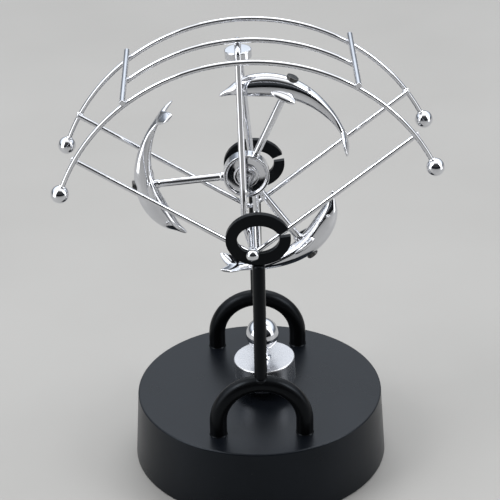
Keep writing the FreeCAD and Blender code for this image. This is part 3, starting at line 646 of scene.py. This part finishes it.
def make_battery_door():
    """Sliding door with rounded rims and raised grip ridges at its rear edge."""
    low, high = span("battery_door")
    corners = [(low.x, low.y), (high.x, low.y), (high.x, high.y), (low.x, high.y)]
    plate = slab(softened(corners, 1.5, closed=True), low.z, high.z)
    ridges = []
    for number in range(GRIP_RIDGES):
        y = high.y - GRIP_INSET - GRIP_PITCH * number
        path = line(Vector((-GRIP_WIDTH / 2, y, low.z)), Vector((GRIP_WIDTH / 2, y, low.z)))
        ridges.append(rod(path, GRIP_RADIUS, rim=0.35, sides=16))
    door = make_piece("door_plate", joined([plate, *ridges]), Matrix(), "battery_door",
                      "black_matte_plastic", ["battery_door"])
    soften_edges(door, 0.3)


# ---------------------------------------------------------------- stand

ARCH_WIRE = 3.94
POST_RADIUS = 2.85
SEAT_FLARE = 0.7
SEAT_FALL = 1.2
SEAT_CURVE = 1.8


def make_arch(word):
    """Bent rod with its feet on the base and a small moulded collar at each foot."""
    low, high = span(f"{word}_arch")
    radius = (high.x - low.x) / 2 - ARCH_WIRE
    bend = high.z - ARCH_WIRE - radius
    along = (low.y + high.y) / 2
    path = [Vector((radius, along, low.z))]
    path += arc((0.0, bend), radius, 0, 180, along, steps=64)
    path += [Vector((-radius, along, low.z))]
    shapes = [rod(path, ARCH_WIRE, rim=0.2, sides=48)]
    for across in (-radius, radius):
        collar = softened([(ARCH_WIRE - 0.2, low.z), (ARCH_WIRE + 0.35, low.z),
                           (ARCH_WIRE - 0.05, low.z + 0.5)], 0.2)
        shapes.append(moved(lathe(collar, steps=48), shifted(across, along)))
    make_piece(f"{word}_arch_rod", joined(shapes), Matrix(), "stand", "black_powder_coat",
               [f"{word}_arch"])


def make_post(word):
    """Upright rod, flared a little where it is welded to the arch."""
    foot = Vector((0.0, middle(f"{word}_arch").y, span(f"{word}_arch")[1].z - ARCH_WIRE))
    head = Vector((0.0, middle(f"{word}_ring").y, span(f"{word}_ring")[0].z + 0.4))
    length = (head - foot).length
    seat = ARCH_WIRE - SEAT_FALL
    outline = [(0.0, 0.0), (POST_RADIUS + SEAT_FLARE, 0.0), (POST_RADIUS + SEAT_FLARE, seat)]
    for step in range(1, 9):
        turn = math.radians(90 * step / 8)
        outline.append((POST_RADIUS + SEAT_FLARE * (1 - math.sin(turn)),
                        seat + SEAT_CURVE * (1 - math.cos(turn))))
    outline += [(POST_RADIUS, length - 1.6), (POST_RADIUS - 0.25, length - 0.9), (0.0, length - 0.4)]
    lean = Vector((0, 0, 1)).rotation_difference(head - foot).to_matrix().to_4x4()
    make_piece(f"{word}_post_rod", lathe(outline, steps=64), shifted(*foot) @ lean, "stand",
               "black_powder_coat", [f"{word}_post"])


RING_WALL_ACROSS = 5.0
RING_WALL_UP = 5.6
RING_GAP = (7.0, 21.5)


def make_ring(word):
    """Flat C-shaped ring with rounded edges, open at its upper right."""
    low, high = span(f"{word}_ring")
    centre = (low + high) / 2
    wide = (high.x - low.x) / 2
    tall = (high.z - low.z) / 2
    steps = 96
    outline = []
    for index in range(steps + 1):
        turn = math.radians(RING_GAP[1] + (360 - RING_GAP[1] + RING_GAP[0]) * index / steps)
        outline.append(Vector((wide * math.cos(turn), tall * math.sin(turn))))
    inner = []
    for index in range(steps + 1):
        turn = math.radians(RING_GAP[1] + (360 - RING_GAP[1] + RING_GAP[0]) * index / steps)
        inner.append(Vector(((wide - RING_WALL_ACROSS) * math.cos(turn),
                             (tall - RING_WALL_UP) * math.sin(turn))))
    half = (high.y - low.y) / 2
    plate = slab(outline + inner[::-1], -half, half)
    stand_up = shifted(*centre) @ turned("X", math.radians(90))
    ring = make_piece(f"{word}_ring_plate", plate, stand_up, "stand", "black_powder_coat",
                      [f"{word}_ring"])
    soften_edges(ring, 0.35)


# ---------------------------------------------------------------- swing frame

ARC_RADIUS = 88.0
ARC_CENTRE = -6.2
ARC_HALF_ANGLE = 68.0
MIDDLE_HALF_ANGLE = 34.2
CROSSBAR_ANGLE = 33.6
CROSSBAR_RADIUS = 1.35
ARC_BALL = 4.0
VEE_ANGLE = 35.2
VEE_BEND = 3.5
VEE_BOTTOM = -9.9
VEE_REACH = 92.0
LEG_RADIUS = 1.5
LEG_TOP = 79.5
LEG_SHOULDER = 7.4
LEG_SPREAD = 20.5
LEG_KNEES = (3.0, -11.0)
LEG_FOOT = (1.6, -58.3)
LEG_BENDS = (2.0, 9.0, 6.0)
LEG_LEAN = {"front": -2.8, "rear": 2.4}
KNEE_LEAN = {"front": 0.1, "rear": 2.4}
BOB_ACROSS = 0.9
THIN_WIRE = 1.1
DISC_RADIUS = 5.9
DISC_THICKNESS = 3.9


def on_arc(angle, radius, along):
    """A point of the frame's arcs, its angle in degrees from straight up."""
    turn = math.radians(angle)
    return Vector((radius * math.sin(turn), along, ARC_CENTRE + radius * math.cos(turn)))


def arc_plane(word):
    return middle(f"{word}_arc").y


def vee_plane(word):
    return middle(f"{word}_vee").y


def make_arcs():
    trim = math.degrees(ARC_BALL / ARC_RADIUS) * 0.6
    reach = ARC_HALF_ANGLE - trim
    for word in SIDES:
        path = arc((0.0, ARC_CENTRE), ARC_RADIUS, 90 - reach, 90 + reach, arc_plane(word), steps=160)
        make_piece(f"{word}_arc_wire", rod(path, THIN_WIRE), SWING, "swing_frame", "wire_chrome",
                   [f"{word}_arc"])
    path = arc((0.0, ARC_CENTRE), ARC_RADIUS, 90 - MIDDLE_HALF_ANGLE, 90 + MIDDLE_HALF_ANGLE, 0.0)
    make_piece("middle_arc_wire", rod(path, THIN_WIRE), SWING, "swing_frame", "wire_chrome",
               ["middle_arc"])


def make_arc_balls():
    """A turned ball on each end of the outer arcs, with a small collar where it is fixed."""
    pieces = []
    for word in SIDES:
        for hand in (-1, 1):
            centre = on_arc(hand * ARC_HALF_ANGLE, ARC_RADIUS, arc_plane(word))
            inner = on_arc(hand * (ARC_HALF_ANGLE - 1), ARC_RADIUS, arc_plane(word))
            lean = Vector((0, 0, 1)).rotation_difference(inner - centre).to_matrix().to_4x4()
            collar = softened([(THIN_WIRE, ARC_BALL - 0.5), (THIN_WIRE + 0.5, ARC_BALL - 0.25),
                               (THIN_WIRE + 0.35, ARC_BALL + 0.25), (THIN_WIRE, ARC_BALL + 0.4)], 0.2)
            shape = joined([ball(ARC_BALL), lathe(collar, steps=40)])
            pieces.append(moved(shape, shifted(*centre) @ lean))
    make_piece("arc_balls", joined(pieces), SWING, "swing_frame", "weight_chrome", ["arc_end_balls"],
               flat_faces=False)


def make_crossbars():
    reach = ARC_RADIUS + THIN_WIRE + CROSSBAR_RADIUS - 0.1
    for hand, word in ((-1, "left"), (1, "right")):
        half = extent(f"{word}_crossbar").y / 2
        start = on_arc(hand * CROSSBAR_ANGLE, reach, -half)
        end = on_arc(hand * CROSSBAR_ANGLE, reach, half)
        make_piece(f"{word}_crossbar_rod", rod(line(start, end), CROSSBAR_RADIUS, rim=0.25), SWING,
                   "swing_frame", "wire_chrome", [f"{word}_crossbar"])


def vee_point(hand, reach, along):
    turn = math.radians(VEE_ANGLE)
    return Vector((hand * reach * math.cos(turn), along, VEE_BOTTOM + reach * math.sin(turn)))


def make_vees():
    """Straight arms joined by a tight round bend at the bottom of the V."""
    lift = VEE_BEND * (1 - 1 / math.cos(math.radians(VEE_ANGLE)))
    for word in SIDES:
        along = vee_plane(word)
        apex = Vector((0.0, along, VEE_BOTTOM + lift))
        left = vee_point(-1, VEE_REACH, along) + Vector((0.0, 0.0, lift))
        right = vee_point(1, VEE_REACH, along) + Vector((0.0, 0.0, lift))
        make_piece(f"{word}_vee_wire", rod(bent([left, apex, right], [VEE_BEND]), THIN_WIRE), SWING,
                   "swing_frame", "wire_chrome", [f"{word}_vee"])


def leg_points(side, word):
    lean = LEG_LEAN[word]
    return [
        Vector((0.0, 0.0, LEG_TOP)),
        Vector((0.0, side * LEG_SHOULDER, LEG_TOP)),
        Vector((lean, side * LEG_SPREAD, LEG_KNEES[0])),
        Vector((KNEE_LEAN[word], side * LEG_SPREAD, LEG_KNEES[1])),
        Vector((BOB_ACROSS, side * LEG_FOOT[0], LEG_FOOT[1])),
    ]


def make_legs():
    for word, side in SIDES.items():
        path = bent(leg_points(side, word), LEG_BENDS)
        make_piece(f"{word}_leg_wire", rod(path, LEG_RADIUS), SWING, "swing_frame", "wire_chrome",
                   [f"{word}_leg"])


def make_axles():
    """Pins that rest in the rings, each with a ball screwed onto its outer end."""
    for word, side in SIDES.items():
        low, high = span(f"{word}_axle_pin")
        radius = (high.z - low.z) / 2
        ends = sorted((abs(low.y), abs(high.y)))
        start = Vector((0.0, side * ends[0], 0.0))
        end = Vector((0.0, side * ends[1], 0.0))
        make_piece(f"{word}_axle_rod", rod(line(start, end), radius, rim=0.25, sides=40), SWING,
                   "swing_frame", "wire_chrome", [f"{word}_axle_pin"])
        knob = (span(f"{word}_axle_ball")[1].z - span(f"{word}_axle_ball")[0].z) / 2
        centre = Vector((0.0, middle(f"{word}_axle_ball").y, 0.0))
        collar = softened([(radius, -knob + 0.2), (radius + 0.7, -knob + 0.35),
                           (radius + 0.6, -knob - 0.2), (radius, -knob - 0.3)], 0.2)
        face_out = ALONG_Y if side == REAR else ALONG_Y @ turned("X", math.pi)
        shape = joined([ball(knob), lathe(collar, steps=48)])
        make_piece(f"{word}_axle_knob", shape, SWING @ shifted(*centre) @ face_out, "swing_frame",
                   "weight_chrome", [f"{word}_axle_ball"], flat_faces=False)


def make_top_disc():
    """Thick turned disc under the crossing of the legs, edges rounded over."""
    top = LEG_TOP - LEG_RADIUS
    bottom = top - DISC_THICKNESS
    outline = softened([(0.0, bottom), (DISC_RADIUS, bottom), (DISC_RADIUS, top), (0.0, top)], 0.6)
    make_piece("top_disc_turning", lathe(outline), SWING, "swing_frame", "weight_chrome", ["top_disc"])


COLLAR_RADIUS = 1.8
COLLAR_THICKNESS = 1.6
BALL_LEVEL = -65.45
NECK_RADIUS = 2.2
WEIGHT_RADIUS = 14.3
WEIGHT_TOP = -78.05
WEIGHT_HEIGHT = 11.7
NECK_FLARE = 1.3
MAGNET_POCKET = 8.0


def make_pendulum():
    """Ball, waisted neck and a satin drum-shaped weight with a pocket for its magnet."""
    place = SWING @ shifted(BOB_ACROSS, 0.0, 0.0)
    radius = extent("pendulum_ball").y / 2
    make_piece("bob_ball", moved(ball(radius), shifted(0.0, 0.0, BALL_LEVEL)), place, "swing_frame",
               "weight_chrome", ["pendulum_ball"], flat_faces=False)
    head = BALL_LEVEL - radius + 0.5
    waist = [(NECK_RADIUS + NECK_FLARE, WEIGHT_TOP - 0.1)]
    for step in range(13):
        share = step / 12
        flare = NECK_FLARE * (1 - math.sin(math.pi * share)) ** 2
        waist.append((NECK_RADIUS + flare, WEIGHT_TOP + (head - WEIGHT_TOP) * share))
    make_piece("bob_neck", lathe(waist, steps=64), place, "swing_frame", "weight_chrome",
               ["pendulum_neck"], flat_faces=False)
    bottom = WEIGHT_TOP - WEIGHT_HEIGHT
    magnet = extent("drive_magnet").y / 2
    outline = softened([
        (0.0, WEIGHT_TOP),
        (WEIGHT_RADIUS, WEIGHT_TOP),
        (WEIGHT_RADIUS, bottom),
        (magnet, bottom),
        (magnet, bottom + MAGNET_POCKET),
        (0.0, bottom + MAGNET_POCKET),
    ], 0.6)
    make_piece("bob_weight", lathe(outline, steps=128), place, "swing_frame", "satin_weight",
               ["pendulum_weight"])


def make_rotor_pin():
    """Steel pin between the legs, with a collar each side of the hub."""
    low, high = span("rotor_pin")
    centre = SWING.inverted() @ ROTOR_CENTRE
    half = (high.y - low.y) / 2
    radius = (high.z - low.z) / 2
    start = centre - Vector((0.0, half, 0.0))
    end = centre + Vector((0.0, half, 0.0))
    make_piece("rotor_pin_rod", rod(line(start, end), radius, rim=0.2), SWING, "swing_frame",
               "wire_chrome", ["rotor_pin"])
    reach = extent("rotor_collars").y / 2
    collars = []
    for side in (FRONT, REAR):
        inner, outer = sorted((side * (reach - COLLAR_THICKNESS), side * reach))
        outline = softened([(radius, inner), (COLLAR_RADIUS, inner), (COLLAR_RADIUS, outer), (radius, outer)],
                           0.3, closed=True)
        collars.append(lathe(outline, closed=True, steps=48))
    make_piece("rotor_collar_pair", joined(collars), SWING @ shifted(*centre) @ ALONG_Y, "swing_frame",
               "wire_chrome", ["rotor_collars"])


def make_weld_beads():
    """Small plated beads where the frame's wires are joined."""
    beads = []
    sideways = Vector((0, 1, 0))
    for hand in (-1, 1):
        for along in (arc_plane("front"), 0.0, arc_plane("rear")):
            contact = on_arc(hand * CROSSBAR_ANGLE, ARC_RADIUS + THIN_WIRE, along)
            beads.append(bead(contact, sideways, 1.5, 0.75))
        for word in SIDES:
            meeting = vee_point(hand, VEE_REACH - 2.0, (vee_plane(word) + arc_plane(word)) / 2)
            direction = vee_point(hand, VEE_REACH, 0.0) - vee_point(hand, 0.0, 0.0)
            beads.append(bead(meeting, direction, 1.8, 0.8))
    pin = SWING.inverted() @ ROTOR_CENTRE
    for word, side in SIDES.items():
        points = leg_points(side, word)
        upright = points[2] - points[1]
        pin_weld = Vector((LEG_LEAN[word] / 2, side * (LEG_SPREAD - 0.4), 0.0))
        beads.append(bead(pin_weld, Vector((0, 0, 1)), 2.2, 1.3))
        low_weld = points[2].lerp(points[3], 0.8) + Vector((0.0, side * LEG_RADIUS, 0.0))
        beads.append(bead(low_weld, Vector((0, 0, 1)), 1.9, 0.8))
        share = (pin.z - points[1].z) / upright.z
        contact = points[1].lerp(points[2], share)
        beads.append(bead((contact + Vector((pin.x, contact.y, pin.z))) / 2, upright, 1.6, 1.1))
        foot_weld = Vector((BOB_ACROSS, side * LEG_FOOT[0], BALL_LEVEL + 7.4))
        beads.append(bead(foot_weld, Vector((0, 0, 1)), 1.0, 1.9))
    beads.append(bead(Vector((0.0, 0.0, LEG_TOP + LEG_RADIUS)), Vector((1, 0, 0)), 2.4, 0.9))
    make_piece("weld_beads", joined(beads), SWING, "swing_frame", "wire_chrome", flat_faces=False)


# ---------------------------------------------------------------- rotor

HUB_RIM = 1.2
HUB_DISH = 1.3
HUB_BOSS = (5.4, 4.0)
HUB_BOSS_DISH = 0.7
BUSH = (1.0, 1.9)


def make_hub():
    """Pulley-shaped hub round a bush: a rim, a dished ring and a stepped boss on each face."""
    half = extent("rotor_hub").y / 2
    radius = extent("rotor_hub").z / 2
    front = [
        (BUSH[1], half - HUB_BOSS_DISH),
        (2.9, half - HUB_BOSS_DISH),
        (3.1, half - 0.25),
        (HUB_BOSS[1] - 0.3, half - 0.25),
        (HUB_BOSS[1], half),
        (HUB_BOSS[0], half),
        (HUB_BOSS[0], half - HUB_DISH),
        (radius - HUB_RIM - 0.4, half - HUB_DISH),
        (radius - HUB_RIM, half),
        (radius, half),
    ]
    back = [(across, -along) for across, along in reversed(front)]
    outline = softened(front + back, 0.3, closed=True)
    place = shifted(*ROTOR_CENTRE) @ turned("Y", -TILT) @ ALONG_Y
    make_piece("hub_wheel", lathe(outline, closed=True), place, "rotor", "rotor_chrome", ["rotor_hub"])
    reach = extent("hub_bush").y / 2
    sleeve = softened([(BUSH[0], -reach), (BUSH[1], -reach), (BUSH[1], reach), (BUSH[0], reach)],
                      0.25, closed=True)
    make_piece("bush_sleeve", lathe(sleeve, closed=True, steps=48), place, "rotor", "bush_steel",
               ["hub_bush"])


SPOKE_RADIUS = 1.65
SPOKE_SHOULDER = 0.35
SPOKE_ENDS = (9.9, 41.0)
CAP_RADIUS = 2.7
CAP_SEAT = 50.0
CAP_THICKNESS = 1.2

# Sections of the dolphin's trunk: angle from its spoke in degrees, with the snout
# positive, radius of its middle line from the rotor's centre, half depth, half width.
TRUNK = [
    (40.9, 39.9, 0.35, 0.35),
    (39.2, 40.1, 0.95, 0.9),
    (36.0, 40.5, 1.45, 1.4),
    (33.2, 41.0, 2.1, 2.1),
    (30.0, 41.7, 3.3, 3.1),
    (25.0, 42.4, 4.6, 4.2),
    (18.0, 43.2, 5.6, 4.8),
    (10.0, 44.2, 5.8, 4.9),
    (2.0, 45.1, 5.4, 4.6),
    (-6.0, 45.8, 4.7, 4.0),
    (-14.0, 46.2, 3.8, 3.3),
    (-22.0, 46.4, 3.0, 2.7),
    (-29.0, 46.7, 2.3, 2.1),
    (-34.5, 46.9, 1.8, 2.1),
    (-38.5, 47.1, 1.5, 2.8),
    (-42.0, 47.2, 1.3, 3.9),
    (-45.0, 47.2, 0.9, 4.4),
]
TRUNK_SIDES = 12
CAGE_GROWTH = 1.047
MOUTH_START = 31.0


def trunk_ring(angle, radius, half_depth, half_width):
    """One ring of the trunk's cage, flatter on the belly and pinched along the mouth."""
    centre = polar(angle, radius)
    outward = polar(angle, 1.0)
    ring = []
    for index in range(TRUNK_SIDES):
        turn = 2 * math.pi * index / TRUNK_SIDES
        depth = math.cos(turn) * half_depth * CAGE_GROWTH
        width = math.sin(turn) * half_width * CAGE_GROWTH
        if math.cos(turn) < -0.1:
            depth *= 0.88
            width *= 1.08
        if angle > MOUTH_START and index in (4, 8):
            width *= 0.72
        ring.append(centre + outward * depth + Vector((0.0, width, 0.0)))
    return ring


def cage(rings):
    """A closed skin over rings that all have the same number of points."""
    sides = len(rings[0])
    points = [point for ring in rings for point in ring]
    faces = [list(range(sides)), list(range(len(points) - sides, len(points)))[::-1]]
    for ring in range(len(rings) - 1):
        for index in range(sides):
            low = ring * sides
            following = (index + 1) % sides
            faces.append([low + index, low + following, low + sides + following, low + sides + index])
    return points, faces


def blade(stations):
    """A thin fin through stations: centre, half chord and half thickness as vectors."""
    rings = []
    for centre, chord, thick in stations:
        rings.append([
            centre + chord, centre + chord * 0.7 + thick, centre - chord * 0.5 + thick,
            centre - chord, centre - chord * 0.5 - thick, centre + chord * 0.7 - thick,
        ])
    return cage(rings)


# Fluke outline: distance from the middle, leading and trailing edge behind the tail's
# end, and half thickness.
FLUKE = [
    (0.0, -4.0, 4.6, 1.4),
    (2.2, -3.2, 6.2, 1.35),
    (4.4, -1.6, 7.6, 1.2),
    (6.6, 0.8, 8.4, 0.95),
    (8.5, 3.2, 8.8, 0.6),
]
FLUKE_START = -41.5
TAIL_RADIUS = 47.2


def make_flukes():
    """Level tail flukes with a notch between them, curved with the tail."""
    stations = []
    mirrored = [(-along, *rest) for along, *rest in reversed(FLUKE[1:])]
    for along, lead, trail, thick in mirrored + FLUKE:
        angle = FLUKE_START - math.degrees((lead + trail) / 2 / TAIL_RADIUS)
        outward = polar(angle, 1.0)
        backward = Vector((outward.z, 0.0, -outward.x))
        droop = 0.02 * along * along
        centre = polar(angle, TAIL_RADIUS - droop, along)
        stations.append((centre, backward * (trail - lead) / 2, outward * thick))
    return blade(stations)


# Flipper stations: angle, radius, distance from the middle, half chord, half thickness.
FLIPPER = [
    (4.5, 43.7, 2.4, 5.2, 1.8),
    (3.2, 43.3, 4.6, 5.6, 1.7),
    (1.0, 42.9, 6.3, 5.0, 1.4),
    (-1.8, 42.6, 7.5, 3.6, 1.0),
    (-4.0, 42.4, 8.1, 1.8, 0.6),
]


def make_flipper(side):
    """Swept-back flipper that leaves the body low on its side."""
    stations = []
    for angle, radius, along, chord, thick in FLIPPER:
        outward = polar(angle, 1.0)
        backward = Vector((outward.z, -0.25 * side, -outward.x)) + outward * 0.16
        stations.append((polar(angle, radius, side * along), backward.normalized() * chord, outward * thick))
    return blade(stations)


EYE_ANGLE = 25.0
EYE_RADIUS = 41.9
EYE_OUT = 4.1


def make_eye(side):
    """A small domed eye in a raised rim."""
    dome = softened([(0.0, 0.55), (0.45, 0.45), (0.62, 0.1), (0.62, -0.6)], 0.2)
    rim = softened([(0.72, -0.6), (0.78, 0.12), (1.02, 0.16), (1.25, -0.6)], 0.14)
    shape = joined([lathe(dome, steps=24), lathe(rim, steps=24)])
    outward = Vector((0.0, side, 0.0))
    lean = Vector((0, 0, 1)).rotation_difference(outward + polar(EYE_ANGLE, 0.15)).to_matrix().to_4x4()
    return moved(shape, shifted(*polar(EYE_ANGLE, EYE_RADIUS, side * EYE_OUT)) @ lean)


def make_dolphins():
    trunk = cage([trunk_ring(*section) for section in TRUNK])
    soft_parts = joined([trunk, make_flukes(), make_flipper(FRONT), make_flipper(REAR)])
    eyes = joined([make_eye(FRONT), make_eye(REAR)])
    for number, word in enumerate(ARMS):
        place = arm_place(number)
        make_piece(f"{word}_dolphin_cast", soft_parts, place, "rotor", "rotor_chrome",
                   [f"{word}_dolphin"], flat_faces=False, smoothing=3)
        make_piece(f"{word}_dolphin_eyes", eyes, place, "rotor", "rotor_chrome", flat_faces=False)


def make_spokes():
    """Spokes with a short shoulder where they enter the hub and the dolphin's belly."""
    for number, word in enumerate(ARMS):
        start, end = SPOKE_ENDS
        outline = softened([
            (0.0, start),
            (SPOKE_RADIUS + SPOKE_SHOULDER, start),
            (SPOKE_RADIUS + SPOKE_SHOULDER, start + 1.4),
            (SPOKE_RADIUS, start + 1.8),
            (SPOKE_RADIUS, end - 2.2),
            (SPOKE_RADIUS + SPOKE_SHOULDER, end - 1.6),
            (SPOKE_RADIUS + SPOKE_SHOULDER, end),
            (0.0, end),
        ], 0.25)
        make_piece(f"{word}_spoke_rod", lathe(outline, steps=40), arm_place(number) @ ALONG_X, "rotor",
                   "rotor_chrome", [f"{word}_spoke"])


def make_magnet_caps():
    """Dark magnet discs let into the dolphins' backs."""
    caps = []
    outline = softened([(0.0, CAP_SEAT + CAP_THICKNESS), (CAP_RADIUS, CAP_SEAT + CAP_THICKNESS),
                        (CAP_RADIUS, CAP_SEAT - 0.6), (0.0, CAP_SEAT - 0.6)], 0.25)
    for number in range(len(ARMS)):
        caps.append(moved(lathe(outline, steps=48), arm_place(number) @ ALONG_X))
    make_piece("magnet_discs", joined(caps), Matrix(), "rotor", "magnet_black", ["magnet_caps"])


# ---------------------------------------------------------------- studio

# Places and sizes in the studio are metres.
CAMERA_PLACE = Vector((-0.0119, -0.7730, 0.5215))
CAMERA_AIM = Vector((-0.0032, 0.0, 0.1068))
CAMERA_ROLL = math.radians(-1.2)
CAMERA_LENS = 138.4
LIGHT_AIM = Vector((0.0, 0.0, 0.12))


def make_camera():
    """Stands in front and a little above, and looks down at the toy."""
    data = bpy.data.cameras.new("camera")
    data.lens = CAMERA_LENS
    data.clip_end = 20.0
    camera = bpy.data.objects.new("camera", data)
    bpy.context.scene.collection.objects.link(camera)
    heading = (CAMERA_AIM - CAMERA_PLACE).to_track_quat("-Z", "Y")
    camera.rotation_mode = "QUATERNION"
    camera.rotation_quaternion = heading @ Quaternion((0, 0, 1), CAMERA_ROLL)
    camera.location = CAMERA_PLACE
    bpy.context.scene.camera = camera


def make_floor():
    """Plain pale table top with a faint mottle."""
    half = 8.0
    mesh = bpy.data.meshes.new("floor")
    mesh.from_pydata([(-half, -half, 0), (half, -half, 0), (half, half, 0), (-half, half, 0)],
                     [], [(0, 1, 2, 3)])
    floor = bpy.data.objects.new("floor", mesh)
    bpy.context.scene.collection.objects.link(floor)
    tree, shader, place = new_material("pale_table")
    tone = ramp(tree, noise(tree, place, 6.0), [(0.3, (0.335, 0.33, 0.32)), (0.7, (0.365, 0.36, 0.35))])
    tree.links.new(tone, shader.inputs["Base Color"])
    shader.inputs["Roughness"].default_value = 0.65
    mesh.materials.append(MATERIALS["pale_table"])


def make_light(name, place, width, height, power):
    data = bpy.data.lights.new(name, "AREA")
    data.shape = "RECTANGLE"
    data.size = width
    data.size_y = height
    data.energy = power
    light = bpy.data.objects.new(name, data)
    bpy.context.scene.collection.objects.link(light)
    light.location = place
    light.rotation_euler = (LIGHT_AIM - Vector(place)).to_track_quat("-Z", "Y").to_euler()
    light.visible_camera = False
    return light


def make_sky():
    """Soft studio surround: bright above, dim near the horizon and towards the front."""
    world = bpy.data.worlds.new("studio")
    world.use_nodes = True
    tree = world.node_tree
    direction = tree.nodes.new("ShaderNodeTexCoord").outputs["Generated"]
    split = tree.nodes.new("ShaderNodeSeparateXYZ")
    tree.links.new(direction, split.inputs["Vector"])
    height = ramp(tree, split.outputs["Z"], [(0.0, (0.10, 0.105, 0.11)), (0.22, (0.16, 0.18, 0.21)),
                                             (0.40, (0.80, 0.86, 0.94)), (0.8, (1.0, 1.0, 1.0))])
    towards = tree.nodes.new("ShaderNodeMapRange")
    towards.inputs["From Min"].default_value = -0.5
    towards.inputs["From Max"].default_value = -0.2
    towards.inputs["To Min"].default_value = 0.04
    towards.inputs["To Max"].default_value = 1.0
    tree.links.new(split.outputs["Y"], towards.inputs["Value"])
    shade = tree.nodes.new("ShaderNodeVectorMath")
    shade.operation = "SCALE"
    tree.links.new(height, shade.inputs[0])
    tree.links.new(towards.outputs["Result"], shade.inputs["Scale"])
    tree.links.new(shade.outputs["Vector"], tree.nodes["Background"].inputs["Color"])
    tree.nodes["Background"].inputs["Strength"].default_value = 1.5
    bpy.context.scene.world = world


def make_studio():
    make_camera()
    make_floor()
    make_light("key", (-0.75, -0.25, 0.95), 0.55, 0.45, 5)
    make_light("fill", (0.85, -0.25, 0.75), 0.35, 0.5, 3)
    make_light("back", (0.1, 0.7, 1.05), 0.9, 0.35, 4)
    left_strip = make_light("left_strip", (-0.34, -0.14, 0.24), 0.22, 0.42, 0.6)
    right_strip = make_light("right_strip", (0.34, -0.10, 0.24), 0.16, 0.42, 0.35)
    for strip in (left_strip, right_strip):
        strip.visible_diffuse = False
    make_sky()
    bpy.context.scene.view_settings.view_transform = "Standard"


# ---------------------------------------------------------------- assembly

make_studio()
make_materials()
dress_cad_nodes()
make_base_shell()
make_feet()
make_cover_screws()
make_battery_door()
for word in SIDES:
    make_arch(word)
    make_post(word)
    make_ring(word)
make_arcs()
make_arc_balls()
make_crossbars()
make_vees()
make_legs()
make_axles()
make_top_disc()
make_pendulum()
make_rotor_pin()
make_weld_beads()
make_hub()
make_spokes()
make_dolphins()
make_magnet_caps()
